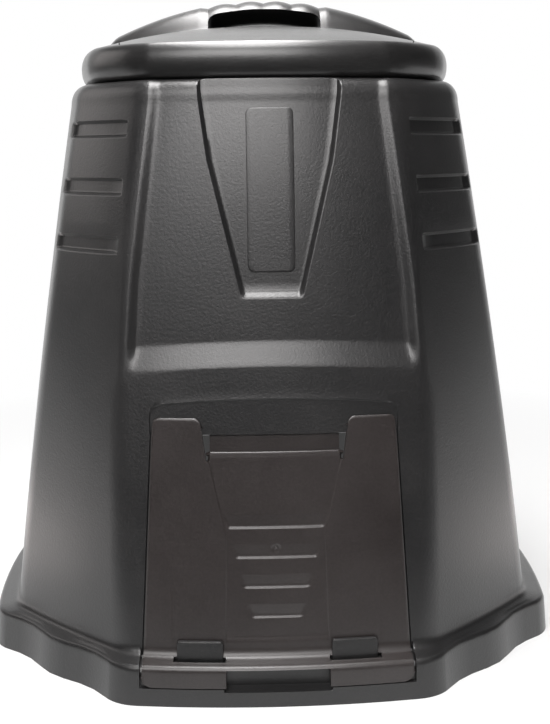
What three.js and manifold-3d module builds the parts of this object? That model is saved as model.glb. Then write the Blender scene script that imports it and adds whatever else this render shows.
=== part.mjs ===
// Garden compost bin in black recycled polyethylene: a tapered eight-sided shell, a lid that lifts off
// by a hand bridge, and a hatch door at the foot of the front for taking the compost out.
// Millimetres, Z up. The front faces -Y, and the origin is on the ground under the centre.

import * as THREE from "three";
import { mergeVertices } from "three/addons/utils/BufferGeometryUtils.js";
import Module from "manifold-3d";

const wasm = await Module();
wasm.setup();

// Walls, gaps and cuts shared by the three mouldings
const wall = 4;
const slideGap = 0.4;
const weld = 0.0004;
const cutStart = 2;
const overrun = 30;

// Shell: the eight-sided plan is given by half its width across the flats, without the bow of each
// flat, and by half the length of a flat
const groundHalf = 361;
const groundEdge = 184;
const flangeLean = 3;
const flangeEdgeLean = 2;
const flangeReach = 31;
const flangeEdgeReach = 4;
const flangeHalf = groundHalf - flangeLean;
const flangeEdge = groundEdge - flangeEdgeLean;
const wallFootHalf = groundHalf - flangeReach;
const wallFootEdge = groundEdge - flangeEdgeReach;
const wallTopHalf = 232;
const wallTopEdge = 150;
const wallBelly = 3.5;
const edgeBelly = 13;
const groundBow = 14;
const wallFootBow = 16;
const wallTopBow = 24;
const cornerBow = 4;
const edgeRound = 20;
const flangeSideHeight = 39;
const flangeTopHeight = 47;
const flangeRound = 7;
const flangeSeamHeight = 50;
const wallFootHeight = 56;
const wallTopHeight = 686;
const shoulderHeight = 709.5;
const flangeSeamSpread = 8;
const footLipWidth = 16;
const footLipHeight = 5;
const scallopDepth = 8;

// Mouth: a flat shoulder that carries the lid, and a collar that centres it
const shoulderRound = 16;
const shoulderShares = [[0.5, 0.2], [0.85, 0.55], [1, 1]];
const collarInset = 37;
const collarRise = 25.5;
const collarHeight = shoulderHeight + collarRise;

// Upper front panel, set back above a sloping shelf
const shelfLipHeight = 383;
const shelfTopHeight = 412;
const panelSetback = 9;
const panelTopSetback = 5;
const panelFootWidth = 356;
const panelTopWidth = 278;
const panelSlope = 10;
const shelfArch = 10;

// Tapering recess in the upper panel, with a bare raised plate in it
const recessTopHeight = 696;
const recessKneeHeight = 617;
const recessFootHeight = 460;
const recessTopWidth = 168;
const recessKneeWidth = 147;
const recessFootWidth = 72;
const recessDepth = 7;
const recessSlope = 5;
const plateWidth = 55;
const plateFootHeight = 489;
const plateTopHeight = 676;
const plateRise = 1.5;

// Stiffening grooves round the corners
const grooveTopHeight = 654;
const grooveSpacing = 67.2;
const grooveCount = 3;
const grooveHeight = 21;
const grooveDepth = 7;
const grooveSlope = 4;
const grooveInset = 14;
const grooveShares = [0, 0.08, 0.36, 0.64, 1];

// Seat of the hatch door in the lower front, and the way through behind it
const seatDepth = 2.9;
const seatMargin = 6;
const tongueWidth = 160;
const tongueFootHeight = 305;
const surroundWidth = 284;
const surroundTopHeight = 346;
const surroundArch = 20;
const surroundDepth = 1.5;
const hatchWayWidth = 226;
const hatchWayFootHeight = 84;
const hatchWayTopHeight = 289;

// Hatch door
const doorThickness = 5;
const doorBack = seatDepth - slideGap;
const doorFront = doorBack - doorThickness;
const doorTopHeight = 325;
const doorTopWidth = 282;
const doorFootWidth = 314;
const doorFootHeight = 38;
const earGap = 3;
const earBack = -slideGap;
const tabGap = 5;
const tabClearance = 1.6;
const tabThickness = 3.5;
const tabStepDrop = 21;
const tabStepHeight = tongueFootHeight - tabStepDrop;
const tabLap = 23;
const tabTopHeight = tongueFootHeight + tabLap;
const tabStepRise = 8;
const bibTopWidth = 152;
const bibWaistWidth = 113;
const bibFootWidth = 119;
const bibWaistHeight = 188;
const bibFootHeight = 72;
const bibDepth = 1;
const louvreTopSill = 197.5;
const louvreSpacing = 34.6;
const louvreCount = 4;
const louvreHeight = 19;
const louvreDepth = 2;
const louvreTopWidth = 117;
const louvreFootWidth = 62;
const dimpleHeight = 175;
const dimpleRadius = 5.5;
const dimpleDepth = 1;
const nubRadius = 1.8;

// Foot of the door, which wraps over the flange, and the two lugs that hold it
const footGapOut = 1.2;
const footGapUp = 0.8;
const footSideGap = 1.5;
const footSheet = 4;
const footHemHeight = 22;
const footTrimHeight = 72;
const lugWidth = 54;
const lugCentre = 90;
const lugThickness = 5;
const lugStandoff = 1;
const lugTopHeight = 69;
const lugWindowGap = 4;
const lugSlideGap = 5;
const fingerWidth = 124;
const fingerFootHeight = 18;
const fingerTopHeight = 43;
const fingerDepth = 14;

// Lid
const lidGap = 0.3;
const lidDraw = 15;
const lidHalf = wallTopHalf - lidDraw;
const lidEdge = wallTopEdge;
const lidWall = 3.5;
const lidFootHeight = shoulderHeight + lidGap;
const lidRimHeight = 43;
const lidRimTop = lidFootHeight + lidRimHeight;
const lidRimRound = 14;
const lidRimShares = [[0, 1], [0.05, 0.5], [0.2, 0.12], [0.5, 0], [0.75, 0.12], [0.9, 0.42], [1, 1]];
const lidFootRing = 6;
const lidCrown = 34;
const lidCrownShares = [0.94, 0.75, 0.5, 0.25];
const ridgeHeight = 70;
const ridgeHalfLength = 204;
const ridgeEndSlope = 8;
const ridgeHalfWidth = 64;
const ridgeEndWidthShare = 0.6;
const ridgeSideShares = [[1, 0], [1, 0.3], [0.62, 0.86], [0.3, 0.975]];
const gripHalfWidth = 73;
const gripBarDepth = 15.8;
const gripRoofHeight = lidRimTop + ridgeHeight - gripBarDepth;
const gripRoofArch = 8;
const gripTroughDepth = 8;
const gripTroughFlat = 70;
const gripTroughReach = 188;
const fingerBumpCount = 4;
const fingerBumpRise = 3;
const fingerBumpFade = 10;

// How finely the curves are stepped
const flatSteps = 6;
const cornerSteps = 8;
const wallSteps = 6;
const ridgeSteps = 32;
const hollowSteps = 8;
const roofSteps = 6;
const roundSteps = 20;

const blackShell = new THREE.MeshStandardMaterial({ color: 0x2b2c2c, roughness: 0.42, metalness: 0 });
const blackLid = new THREE.MeshStandardMaterial({ color: 0x292a2a, roughness: 0.4, metalness: 0 });
const brownBlackDoor = new THREE.MeshStandardMaterial({ color: 0x2c2927, roughness: 0.4, metalness: 0 });

function mix(a, b, share) {
  return a + (b - a) * share;
}

function evenShares(steps) {
  return Array.from({ length: steps + 1 }, (_, i) => i / steps);
}

// A closed solid from a triangle list, turned to face out
function solidOf(points, faces) {
  const geometry = new THREE.BufferGeometry().setFromPoints(points);
  geometry.setIndex(faces);
  const merged = mergeVertices(geometry, weld);
  const position = merged.attributes.position;
  const corners = Array.from(merged.index.array);
  const a = new THREE.Vector3();
  const b = new THREE.Vector3();
  const c = new THREE.Vector3();
  let volume = 0;
  for (let i = 0; i < corners.length; i += 3) {
    a.fromBufferAttribute(position, corners[i]);
    b.fromBufferAttribute(position, corners[i + 1]);
    c.fromBufferAttribute(position, corners[i + 2]);
    volume += a.dot(b.cross(c));
  }
  if (volume < 0) corners.reverse();
  const triVerts = new Uint32Array(corners);
  return new wasm.Manifold(new wasm.Mesh({ numProp: 3, vertProperties: position.array, triVerts }));
}

// A solid through closed loops with as many points each, its two ends closed flat
function loft(loops, flatten) {
  const count = loops[0].length;
  const faces = [];
  for (let level = 0; level + 1 < loops.length; level++) {
    for (let i = 0; i < count; i++) {
      const j = (i + 1) % count;
      const low = level * count;
      const high = low + count;
      faces.push(low + i, low + j, high + j, low + i, high + j, high + i);
    }
  }
  const last = (loops.length - 1) * count;
  const caps = [
    [loops[0], 0, -1],
    [loops[loops.length - 1], last, 1],
  ];
  for (const [loop, offset, side] of caps) {
    const contour = loop.map(flatten);
    const turn = THREE.ShapeUtils.isClockWise(contour) ? -side : side;
    for (const [i, j, k] of THREE.ShapeUtils.triangulateShape(contour, [])) {
      if (turn > 0) faces.push(offset + i, offset + j, offset + k);
      else faces.push(offset + k, offset + j, offset + i);
    }
  }
  return solidOf(loops.flat(), faces);
}

const fromAbove = (p) => new THREE.Vector2(p.x, p.y);
const fromSide = (p) => new THREE.Vector2(p.y, p.z);
const fromFront = (p) => new THREE.Vector2(p.x, p.z);

// A solid between two sheets of points, front and back, each rows by columns
function slab(front, back) {
  const rows = front.length;
  const columns = front[0].length;
  const points = [...front.flat(), ...back.flat()];
  const offset = rows * columns;
  const faces = [];
  const quad = (a, b, c, d) => faces.push(a, b, c, a, c, d);
  for (let r = 0; r + 1 < rows; r++) {
    for (let c = 0; c + 1 < columns; c++) {
      const i = r * columns + c;
      quad(i, i + 1, i + columns + 1, i + columns);
      quad(offset + i, offset + i + columns, offset + i + columns + 1, offset + i + 1);
    }
  }
  for (let c = 0; c + 1 < columns; c++) {
    const top = (rows - 1) * columns + c;
    quad(c, offset + c, offset + c + 1, c + 1);
    quad(top, top + 1, offset + top + 1, offset + top);
  }
  for (let r = 0; r + 1 < rows; r++) {
    const left = r * columns;
    const right = left + columns - 1;
    quad(left, left + columns, offset + left + columns, offset + left);
    quad(right, offset + right, offset + right + columns, right + columns);
  }
  return solidOf(points, faces);
}

function solidOfGeometry(geometry) {
  const position = geometry.attributes.position;
  const points = [];
  for (let i = 0; i < position.count; i++) {
    points.push(new THREE.Vector3().fromBufferAttribute(position, i));
  }
  return solidOf(points, Array.from(geometry.index.array));
}

function box(x0, x1, y0, y1, z0, z1) {
  const geometry = new THREE.BoxGeometry(x1 - x0, y1 - y0, z1 - z0);
  geometry.translate((x0 + x1) / 2, (y0 + y1) / 2, (z0 + z1) / 2);
  return solidOfGeometry(geometry);
}

// Half the width across the flats and half a flat's length of the wall, at a height
function wallHalf(z) {
  const share = (z - flangeSeamHeight) / (wallTopHeight - flangeSeamHeight);
  return mix(wallFootHalf, wallTopHalf, share) + wallBelly * 4 * share * (1 - share);
}

function wallEdge(z) {
  const share = (z - flangeSeamHeight) / (wallTopHeight - flangeSeamHeight);
  return mix(wallFootEdge, wallTopEdge, share) + edgeBelly * 4 * share * (1 - share);
}

function wallBow(z) {
  return mix(wallFootBow, wallTopBow, (z - flangeSeamHeight) / (wallTopHeight - flangeSeamHeight));
}

const slantShare = Math.tan(Math.PI / 8);

// One loop of the plan: four bowed flats and four bowed corners with softened edges between them.
// Scallops draw the corners in twice, as round the foot flange.
function planLoop({ z, half, edge, bow, scallop = 0 }, inset = 0) {
  const h = half - inset;
  const e = edge - inset * slantShare;
  const sides = [];
  for (let quarter = 0; quarter < 4; quarter++) {
    const turn = (quarter * Math.PI) / 2;
    const cos = Math.cos(turn);
    const sin = Math.sin(turn);
    const place = (x, y) => new THREE.Vector3(x * cos - y * sin, x * sin + y * cos, z);
    const soft = edgeRound / (2 * e);
    const flat = [];
    for (let i = 0; i <= flatSteps; i++) {
      const s = mix(soft, 1 - soft, i / flatSteps);
      const x = mix(-e, e, s);
      flat.push(place(x, -h - bow * (1 - (x / e) ** 2)));
    }
    const reach = (h - e) * Math.SQRT2;
    const softCorner = edgeRound / reach;
    const corner = [];
    for (let i = 0; i <= cornerSteps; i++) {
      const s = mix(softCorner, 1 - softCorner, i / cornerSteps);
      const swell = cornerBow * 4 * s * (1 - s) - scallop * (1 - Math.cos(4 * Math.PI * s)) / 2;
      const out = swell * Math.SQRT1_2;
      corner.push(place(mix(e, h, s) + out, mix(-h, -e, s) - out));
    }
    sides.push({ points: flat, end: place(e, -h) }, { points: corner, end: place(h, -e) });
  }
  const loop = [];
  sides.forEach(({ points, end }, i) => {
    const next = sides[(i + 1) % sides.length].points[0];
    const last = points[points.length - 1];
    loop.push(...points);
    loop.push(last.clone().add(next).addScaledVector(end, 2).divideScalar(4));
  });
  return loop;
}

// The levels of the shell's outside, from the ground to the collar
function flangeLevels() {
  const ground = { half: groundHalf, edge: groundEdge, bow: groundBow, scallop: scallopDepth };
  const side = { half: flangeHalf, edge: flangeEdge, bow: groundBow, scallop: scallopDepth };
  return [
    { ...ground, z: 0 },
    { ...side, z: flangeSideHeight },
    { ...side, z: flangeTopHeight, half: flangeHalf - flangeRound },
    { z: flangeSeamHeight, half: wallFootHalf + flangeSeamSpread, edge: wallFootEdge, bow: wallFootBow },
  ];
}

function wallLevel(z) {
  return { z, half: wallHalf(z), edge: wallEdge(z), bow: wallBow(z) };
}

function wallLevels() {
  return evenShares(wallSteps).map((share) => wallLevel(mix(wallFootHeight, wallTopHeight, share)));
}

// The plan of the wall's top, drawn in
function topPlan(z, inset) {
  return { z, half: wallTopHalf - inset, edge: wallTopEdge - inset * slantShare, bow: wallTopBow };
}

function shoulderPlans(inset) {
  return shoulderShares.map(([rise, draw]) =>
    topPlan(mix(wallTopHeight, shoulderHeight, rise) - inset * rise, shoulderRound * draw + inset),
  );
}

function shellOutside() {
  const levels = [
    ...flangeLevels(),
    ...wallLevels(),
    ...shoulderPlans(0),
    topPlan(shoulderHeight, collarInset),
    topPlan(collarHeight, collarInset),
  ];
  return loft(levels.map((level) => planLoop(level)), fromAbove);
}

function shellInside() {
  const [ground, side, top, seam] = flangeLevels();
  const loops = [
    planLoop({ ...ground, z: -overrun }, footLipWidth),
    planLoop({ ...ground, z: footLipHeight }, footLipWidth),
    planLoop({ ...ground, z: footLipHeight + wall }, wall),
    planLoop({ ...side, z: flangeSideHeight - wall }, wall),
    planLoop({ ...top, z: flangeTopHeight - wall }, wall),
    planLoop({ ...seam, z: flangeSeamHeight - wall }, wall),
    ...wallLevels().map((level) => planLoop(level, wall)),
    ...shoulderPlans(wall).map((level) => planLoop(level)),
    planLoop(topPlan(shoulderHeight - wall, wall + collarInset)),
    planLoop(topPlan(collarHeight + overrun, wall + collarInset)),
  ];
  return loft(loops, fromAbove);
}

// A point of the bowed front face, set in from it by a depth
function frontPoint(x, z, inset) {
  const edge = wallEdge(z);
  return new THREE.Vector3(x, inset - wallHalf(z) - wallBow(z) * (1 - (x / edge) ** 2), z);
}

// A slab that follows the front face. Each row is a height with its left and right ends, and the
// two insets say where its front and its back lie.
function frontSlab(rows, shares, frontInset, backInset) {
  const across = (row, inset) =>
    shares.map((share) => frontPoint(mix(row.left, row.right, share), row.z, inset(row)));
  const sheet = (inset) => rows.map((row) => across(row, inset));
  return slab(sheet(frontInset), sheet(backInset));
}

// A recess in the front face with sloping sides. extra grows it on every side and deepens it, for
// the wall behind it.
function frontRecess({ levels, slope, extra = 0 }) {
  const rows = levels.map(({ z, width, depth, lift = 0, arch = 0 }) => ({
    z: z + lift * extra,
    left: -width / 2 - extra,
    right: width / 2 + extra,
    depth: depth + extra,
    arch,
  }));
  const shares = [0, 0.5 / 6, 1 / 6, 2 / 6, 3 / 6, 4 / 6, 5 / 6, 5.5 / 6, 1];
  const sheet = (inset) =>
    rows.map((row) => {
      const width = row.right - row.left;
      return shares.map((share, i) => {
        const end = i === 0 || i === shares.length - 1;
        const inner = slope / width;
        const place = end ? share : mix(inner, 1 - inner, (i - 1) / (shares.length - 3));
        const x = mix(row.left, row.right, place);
        return frontPoint(x, row.z - row.arch * (x / row.right) ** 2, inset(row, end));
      });
    });
  return slab(
    sheet(() => -overrun),
    sheet((row, end) => (end ? extra - cutStart : row.depth)),
  );
}

// Upper front panel: set back from the corners, over a shelf that slopes out to the lower front
const panelShare = (z) => (z - shelfLipHeight) / (wallTopHeight - shelfLipHeight);
const panelWidth = (z) => mix(panelFootWidth, panelTopWidth, panelShare(z));
const panelDepth = (z) => mix(panelSetback, panelTopSetback, panelShare(z));

function upperPanel(extra) {
  const lip = { z: shelfLipHeight, width: panelWidth(shelfLipHeight), arch: shelfArch };
  const levels = [{ ...lip, depth: -cutStart, lift: -1 }];
  for (const share of [0, 0.35, 0.7, 1]) {
    const z = mix(shelfTopHeight, wallTopHeight, share);
    levels.push({ z, width: panelWidth(z), depth: panelDepth(z), arch: share === 0 ? shelfArch : 0 });
  }
  levels.push({ z: collarHeight + overrun, width: panelTopWidth, depth: panelTopSetback });
  return frontRecess({ levels, slope: panelSlope, extra });
}

// Tapering recess in the upper panel
function taperedRecess(extra) {
  const floor = (z) => panelDepth(z) + recessDepth;
  const level = (z, width) => ({ z, width, depth: floor(z) });
  const end = (z, width, lift) => ({ z, width, depth: panelDepth(z) - cutStart, lift });
  const levels = [
    end(recessFootHeight, recessFootWidth, -1),
    level(recessFootHeight + recessSlope, recessFootWidth + recessSlope),
    level(recessKneeHeight, recessKneeWidth),
    level(recessTopHeight - recessSlope, recessTopWidth),
    end(recessTopHeight, recessTopWidth, 1),
  ];
  return frontRecess({ levels, slope: recessSlope, extra });
}

// Bare raised plate in the tapered recess
function recessPlate() {
  const rows = evenShares(3).map((share) => ({
    z: mix(plateFootHeight, plateTopHeight, share),
    left: -plateWidth / 2,
    right: plateWidth / 2,
  }));
  const floor = (row) => panelDepth(row.z) + recessDepth;
  return frontSlab(rows, evenShares(3), (row) => floor(row) - plateRise, (row) => floor(row) + plateRise);
}

// A point of a corner face, turned to its corner of the plan
function cornerPoint(along, z, inset, corner, mirror) {
  const half = wallHalf(z);
  const edge = wallEdge(z);
  const reach = (half - edge) / Math.SQRT2;
  const out = (half + edge) / Math.SQRT2 - inset + cornerBow * (1 - Math.min(1, (along / reach) ** 2));
  const side = mirror ? -along : along;
  const point = new THREE.Vector3((out + side) / Math.SQRT2, (side - out) / Math.SQRT2, z);
  return point.applyAxisAngle(new THREE.Vector3(0, 0, 1), (corner * Math.PI) / 2);
}

// One groove: closed at its end near the front or back, and run out through the side edge
function cornerGroove(height, corner, mirror, extra) {
  const half = wallHalf(height);
  const reach = (half - wallEdge(height)) / Math.SQRT2;
  const start = grooveInset - reach - extra;
  const end = reach + overrun;
  const deep = grooveDepth + extra;
  const rows = [
    { z: height - grooveHeight / 2 - extra, inset: extra - cutStart },
    { z: height - grooveHeight / 2 + grooveSlope - extra, inset: deep },
    { z: height + grooveHeight / 2 - grooveSlope + extra, inset: deep },
    { z: height + grooveHeight / 2 + extra, inset: extra - cutStart },
  ];
  const sheet = (inset) =>
    rows.map((row) =>
      grooveShares.map((share) => {
        const along = mix(start, end, share);
        return cornerPoint(along, row.z, inset(row, share), corner, mirror);
      }),
    );
  return slab(
    sheet(() => -overrun),
    sheet((row, share) => (share === 0 ? extra - cutStart : row.inset)),
  );
}

function cornerGrooves(extra) {
  const grooves = [];
  for (let corner = 0; corner < 4; corner++) {
    for (let i = 0; i < grooveCount; i++) {
      const height = grooveTopHeight - i * grooveSpacing;
      grooves.push(cornerGroove(height, corner, corner % 2 === 1, extra));
    }
  }
  return grooves.reduce((all, groove) => all.add(groove));
}

function doorWidth(z) {
  return mix(doorFootWidth, doorTopWidth, (z - doorFootHeight) / (doorTopHeight - doorFootHeight));
}

// Seat of the hatch door, below the tongue
function hatchSeat(extra) {
  const rows = evenShares(2).map((share) => {
    const z = mix(wallFootHeight, tongueFootHeight, share);
    const half = doorWidth(z) / 2 + seatMargin + extra;
    return { z, left: -half, right: half };
  });
  return frontSlab(rows, evenShares(flatSteps), () => -overrun, () => seatDepth + extra);
}

// Outer face round the ears and the tongue, set back a little under an arched top
function hatchSurround() {
  const half = surroundWidth / 2;
  const foot = tongueFootHeight - cutStart;
  const across = (rise, inset) =>
    evenShares(2 * flatSteps).map((share) => {
      const x = mix(-half, half, share);
      const top = surroundTopHeight - surroundArch * (x / half) ** 2;
      return frontPoint(x, mix(foot, top, rise), inset);
    });
  const sheet = (inset) => evenShares(1).map((rise) => across(rise, inset));
  return slab(sheet(-overrun), sheet(surroundDepth));
}

// The way through the wall behind the door
function hatchWay() {
  const wide = [hatchWayFootHeight, hatchWayTopHeight].map((z) => ({
    z,
    left: -hatchWayWidth / 2,
    right: hatchWayWidth / 2,
  }));
  const tall = [hatchWayFootHeight, tongueFootHeight].map((z) => ({
    z,
    left: -tongueWidth / 2,
    right: tongueWidth / 2,
  }));
  const through = (rows) => frontSlab(rows, evenShares(2), () => -overrun, () => overrun);
  return through(wide).add(through(tall));
}

// Pocket in the flange behind the door's finger hold
function fingerPocket(extra) {
  const face = groundHalf + groundBow;
  const half = fingerWidth / 2 + extra;
  const top = flangeTopHeight + extra;
  return box(-half, half, -face - overrun, fingerDepth + extra - face, fingerFootHeight - extra, top);
}

// Seat of the door's foot in the flange, so that the foot lies flush
function footSeat(extra) {
  const half = doorWidth(footHemHeight) / 2 + footSideGap + extra;
  const low = footHemHeight - footGapUp - extra;
  const front = box(-half, half, -groundHalf - overrun, -groundEdge, low, footTrimHeight);
  const under = footSheet + extra;
  return front.subtract(footSolid(-under - footGapOut, -under - footGapUp, seatDepth + extra));
}

// The two lugs that stand up from the flange in front of the door's foot
function doorLugs() {
  return [-1, 1].map((side) => {
    const left = side * lugCentre - lugWidth / 2;
    const foot = flangeSeamHeight - footSheet - wall;
    const rows = [foot, lugTopHeight].map((z) => ({ z, left, right: left + lugWidth }));
    const back = doorFront - lugStandoff;
    return frontSlab(rows, evenShares(2), () => back - lugThickness, () => back);
  });
}

function bodyShell() {
  let outside = shellOutside();
  let inside = shellInside();
  for (const recess of [upperPanel, taperedRecess, cornerGrooves, hatchSeat, footSeat, fingerPocket]) {
    outside = outside.subtract(recess(0));
    inside = inside.subtract(recess(wall));
  }
  let shell = outside.subtract(inside).subtract(hatchWay()).subtract(hatchSurround());
  shell = shell.add(recessPlate());
  for (const lug of doorLugs()) {
    shell = shell.add(lug);
  }
  return shell;
}

// The flange's own profile moved out and up, and the wall above it set in by an inset
function footSolid(out, up, inset) {
  const moved = (level) => ({ ...level, half: level.half + out, z: level.z + up, scallop: 0 });
  const levels = flangeLevels().map(moved);
  levels[0].z = -overrun;
  const seat = wallFootHeight + up;
  levels.push({ ...wallLevel(seat), half: wallHalf(seat) - Math.min(inset, 0) });
  for (const z of [seat + slideGap, seat + overrun]) {
    levels.push({ ...wallLevel(z), half: wallHalf(z) - inset });
  }
  return loft(levels.map((level) => planLoop(level)), fromAbove);
}

function doorFoot() {
  const half = doorWidth(footHemHeight) / 2;
  const sheet = footSolid(0, 0, doorFront).subtract(footSolid(-footSheet, -footSheet, doorBack));
  const trim = box(-half, half, -groundHalf - overrun, -groundEdge, footHemHeight, footTrimHeight);
  return sheet.intersect(trim);
}

// Openings of the foot: a window over each lug, and the notch of the finger hold
function doorWindows() {
  const windows = [-1, 1].map((side) => {
    const width = lugWidth + 2 * lugWindowGap;
    const left = side * lugCentre - width / 2;
    const rows = [footHemHeight, lugTopHeight].map((z) => ({ z, left, right: left + width }));
    const reach = lugStandoff + lugThickness + lugSlideGap;
    return frontSlab(rows, evenShares(2), () => doorFront - reach, () => doorFront);
  });
  const half = fingerWidth / 2;
  const face = groundHalf + groundBow;
  const finger = box(-half, half, -face - overrun, fingerDepth - face, fingerFootHeight, fingerTopHeight);
  return windows[0].add(windows[1]).add(finger);
}

// Bib: the shallow waisted panel of the door, with its sloping louvres
function doorBib() {
  const outline = [
    [bibFootHeight, bibFootWidth],
    [bibWaistHeight, bibWaistWidth],
    [tabStepHeight - tabStepRise, bibTopWidth],
  ];
  const rows = outline.map(([z, width]) => ({ z, left: -width / 2, right: width / 2 }));
  const floor = doorFront + bibDepth;
  let bib = frontSlab(rows, evenShares(4), () => -overrun, () => floor);
  for (let i = 0; i < louvreCount; i++) {
    const sill = louvreTopSill - i * louvreSpacing;
    const width = mix(louvreTopWidth, louvreFootWidth, i / (louvreCount - 1));
    const louvre = [sill, sill + louvreHeight].map((z) => ({ z, left: -width / 2, right: width / 2 }));
    const depth = (row) => (row.z > sill ? floor : floor + louvreDepth);
    bib = bib.add(frontSlab(louvre, evenShares(4), () => -overrun, depth));
  }
  return bib;
}

// A round bar square to the front, between two insets from the front face
function roundPost(radius, height, front, back) {
  const centre = frontPoint(0, height, 0);
  const geometry = new THREE.CylinderGeometry(radius, radius, back - front, roundSteps);
  geometry.translate(centre.x, centre.y + (front + back) / 2, centre.z);
  return solidOfGeometry(geometry);
}

function doorEar(side) {
  const outline = [
    [tabStepHeight - tabStepRise, 0],
    [doorTopHeight - seatMargin, 0],
    [doorTopHeight, seatMargin],
  ];
  const rows = outline.map(([z, trim]) => {
    const inner = tongueWidth / 2 + earGap;
    return { z, left: side * inner, right: side * (doorWidth(z) / 2 - trim) };
  });
  return frontSlab(rows, evenShares(2), () => doorFront, () => earBack);
}

// Tab that runs up behind the tongue, and the step that joins it to the door
function doorTab() {
  const half = tongueWidth / 2 - tabGap;
  const front = wall + tabClearance;
  const back = front + tabThickness;
  const foot = tabStepHeight - tabStepRise;
  const between = (z0, z1) => [z0, z1].map((z) => ({ z, left: -half, right: half }));
  const step = frontSlab(between(foot, tabStepHeight), evenShares(4), () => doorFront, () => back);
  return step.add(frontSlab(between(foot, tabTopHeight), evenShares(4), () => front, () => back));
}

function hatchDoor() {
  const rows = evenShares(3).map((share) => {
    const z = mix(wallFootHeight + footGapUp, tabStepHeight, share);
    return { z, left: -doorWidth(z) / 2, right: doorWidth(z) / 2 };
  });
  const panel = frontSlab(rows, evenShares(8), () => doorFront, () => doorBack);
  const door = panel
    .add(doorEar(-1))
    .add(doorEar(1))
    .add(doorTab())
    .add(doorFoot())
    .subtract(doorWindows())
    .subtract(doorBib())
    .subtract(roundPost(dimpleRadius, dimpleHeight, -overrun, doorFront + bibDepth + dimpleDepth));
  return door.add(roundPost(nubRadius, dimpleHeight, doorFront + bibDepth, doorBack));
}

// Lid: a fat rounded rim turned in below, and a shallow crown
function lidPlan(z) {
  return { z, half: lidHalf, edge: lidEdge, bow: wallTopBow };
}

function lidSolid(inset, drop) {
  const loops = lidRimShares.map(([rise, draw]) =>
    planLoop(lidPlan(mix(lidFootHeight, lidRimTop, rise)), lidRimRound * draw + inset),
  );
  const rim = planLoop(lidPlan(lidRimTop), lidRimRound + inset);
  for (const share of lidCrownShares) {
    const height = lidRimTop + lidCrown * (1 - share * share) - drop;
    loops.push(rim.map((p) => new THREE.Vector3(p.x * share, p.y * share, height)));
  }
  return loft(loops, fromAbove);
}

// Top of the ridge across the lid: one long arch, with finger bumps over the grip
function ridgeTop(x) {
  const arch = lidRimTop + ridgeHeight * (1 - (x / (lidHalf + wallTopBow)) ** 2);
  const outside = Math.abs(x) - gripHalfWidth;
  if (outside > 0) return arch - fingerBumpRise * Math.max(0, 1 - outside / fingerBumpFade);
  const bump = (x / gripHalfWidth + 1) / 2;
  return arch - fingerBumpRise * (1 - Math.abs(Math.sin(Math.PI * fingerBumpCount * bump)));
}

function ridgeLoop(x, thin, top) {
  const half = ridgeHalfWidth * mix(1, ridgeEndWidthShare, Math.min(1, (x / ridgeHalfLength) ** 2)) - thin;
  const root = lidRimTop - wall;
  const rear = ridgeSideShares.map(([reach, rise]) => [reach * half, mix(root, top, rise)]);
  const front = rear.map(([y, z]) => [-y, z]);
  const section = [...front, [0, top], ...rear.reverse()];
  return section.map(([y, z]) => new THREE.Vector3(x, y, z));
}

function ridge() {
  const end = ridgeHalfLength + ridgeEndSlope;
  const loops = [ridgeLoop(-end, 0, lidRimTop)];
  for (const share of evenShares(ridgeSteps)) {
    const x = mix(-ridgeHalfLength, ridgeHalfLength, share);
    loops.push(ridgeLoop(x, 0, ridgeTop(x)));
  }
  loops.push(ridgeLoop(end, 0, lidRimTop));
  return loft(loops, fromSide);
}

// Hollow of the ridge beside the grip, on one side
function ridgeHollow(side) {
  const loops = evenShares(hollowSteps).map((share) => {
    const x = side * mix(gripHalfWidth + lidWall, ridgeHalfLength - lidWall, share);
    return ridgeLoop(x, lidWall, ridgeTop(x) - lidWall);
  });
  return loft(loops, fromSide);
}

// The way for the hand: a shallow trough from the front rim to the back rim, and a tunnel with an
// arched roof where it passes under the ridge. extra grows it, for the skin below and beside it.
function gripTunnel(extra) {
  const half = gripHalfWidth + extra;
  const roof = extra > 0 ? overrun : 0;
  const crown = lidRimTop + lidCrown - gripTroughDepth;
  const floors = [
    [-gripTroughReach - extra, lidRimTop],
    [-gripTroughFlat, crown],
    [gripTroughFlat, crown],
    [gripTroughReach + extra, lidRimTop],
  ];
  const loops = floors.map(([y, floor]) => {
    const arch = evenShares(roofSteps).map((share) => {
      const x = mix(-half, half, share);
      return new THREE.Vector3(x, y, gripRoofHeight + roof - gripRoofArch * (x / half) ** 2);
    });
    const corners = [half, -half].map((x) => new THREE.Vector3(x, y, floor - extra));
    return [...arch, ...corners];
  });
  return loft(loops, fromFront);
}

// The lid's open underside, inside the ring that rests on the shoulder
function lidMouth() {
  const heights = [lidFootHeight - overrun, mix(lidFootHeight, lidRimTop, 1 / 2)];
  return loft(heights.map((z) => planLoop(lidPlan(z), lidRimRound + lidFootRing)), fromAbove);
}

function lidShell() {
  const half = lidHalf + wallTopBow + overrun;
  const above = box(-half, half, -half, half, lidFootHeight + lidWall, lidRimTop + ridgeHeight + overrun);
  const crown = lidSolid(lidWall, lidWall).subtract(gripTunnel(lidWall));
  const hollow = crown.add(ridgeHollow(-1)).add(ridgeHollow(1)).intersect(above);
  return lidSolid(0, 0).add(ridge()).subtract(gripTunnel(0)).subtract(hollow).subtract(lidMouth());
}

function meshOf(name, solid, material) {
  const { numProp, vertProperties, triVerts } = solid.getMesh();
  const points = [];
  for (let i = 0; i < vertProperties.length; i += numProp) {
    points.push(new THREE.Vector3(vertProperties[i], vertProperties[i + 1], vertProperties[i + 2]));
  }
  const geometry = new THREE.BufferGeometry().setFromPoints(points);
  geometry.setIndex(Array.from(triVerts));
  geometry.computeVertexNormals();
  const mesh = new THREE.Mesh(geometry, material);
  mesh.name = name;
  return mesh;
}

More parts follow.
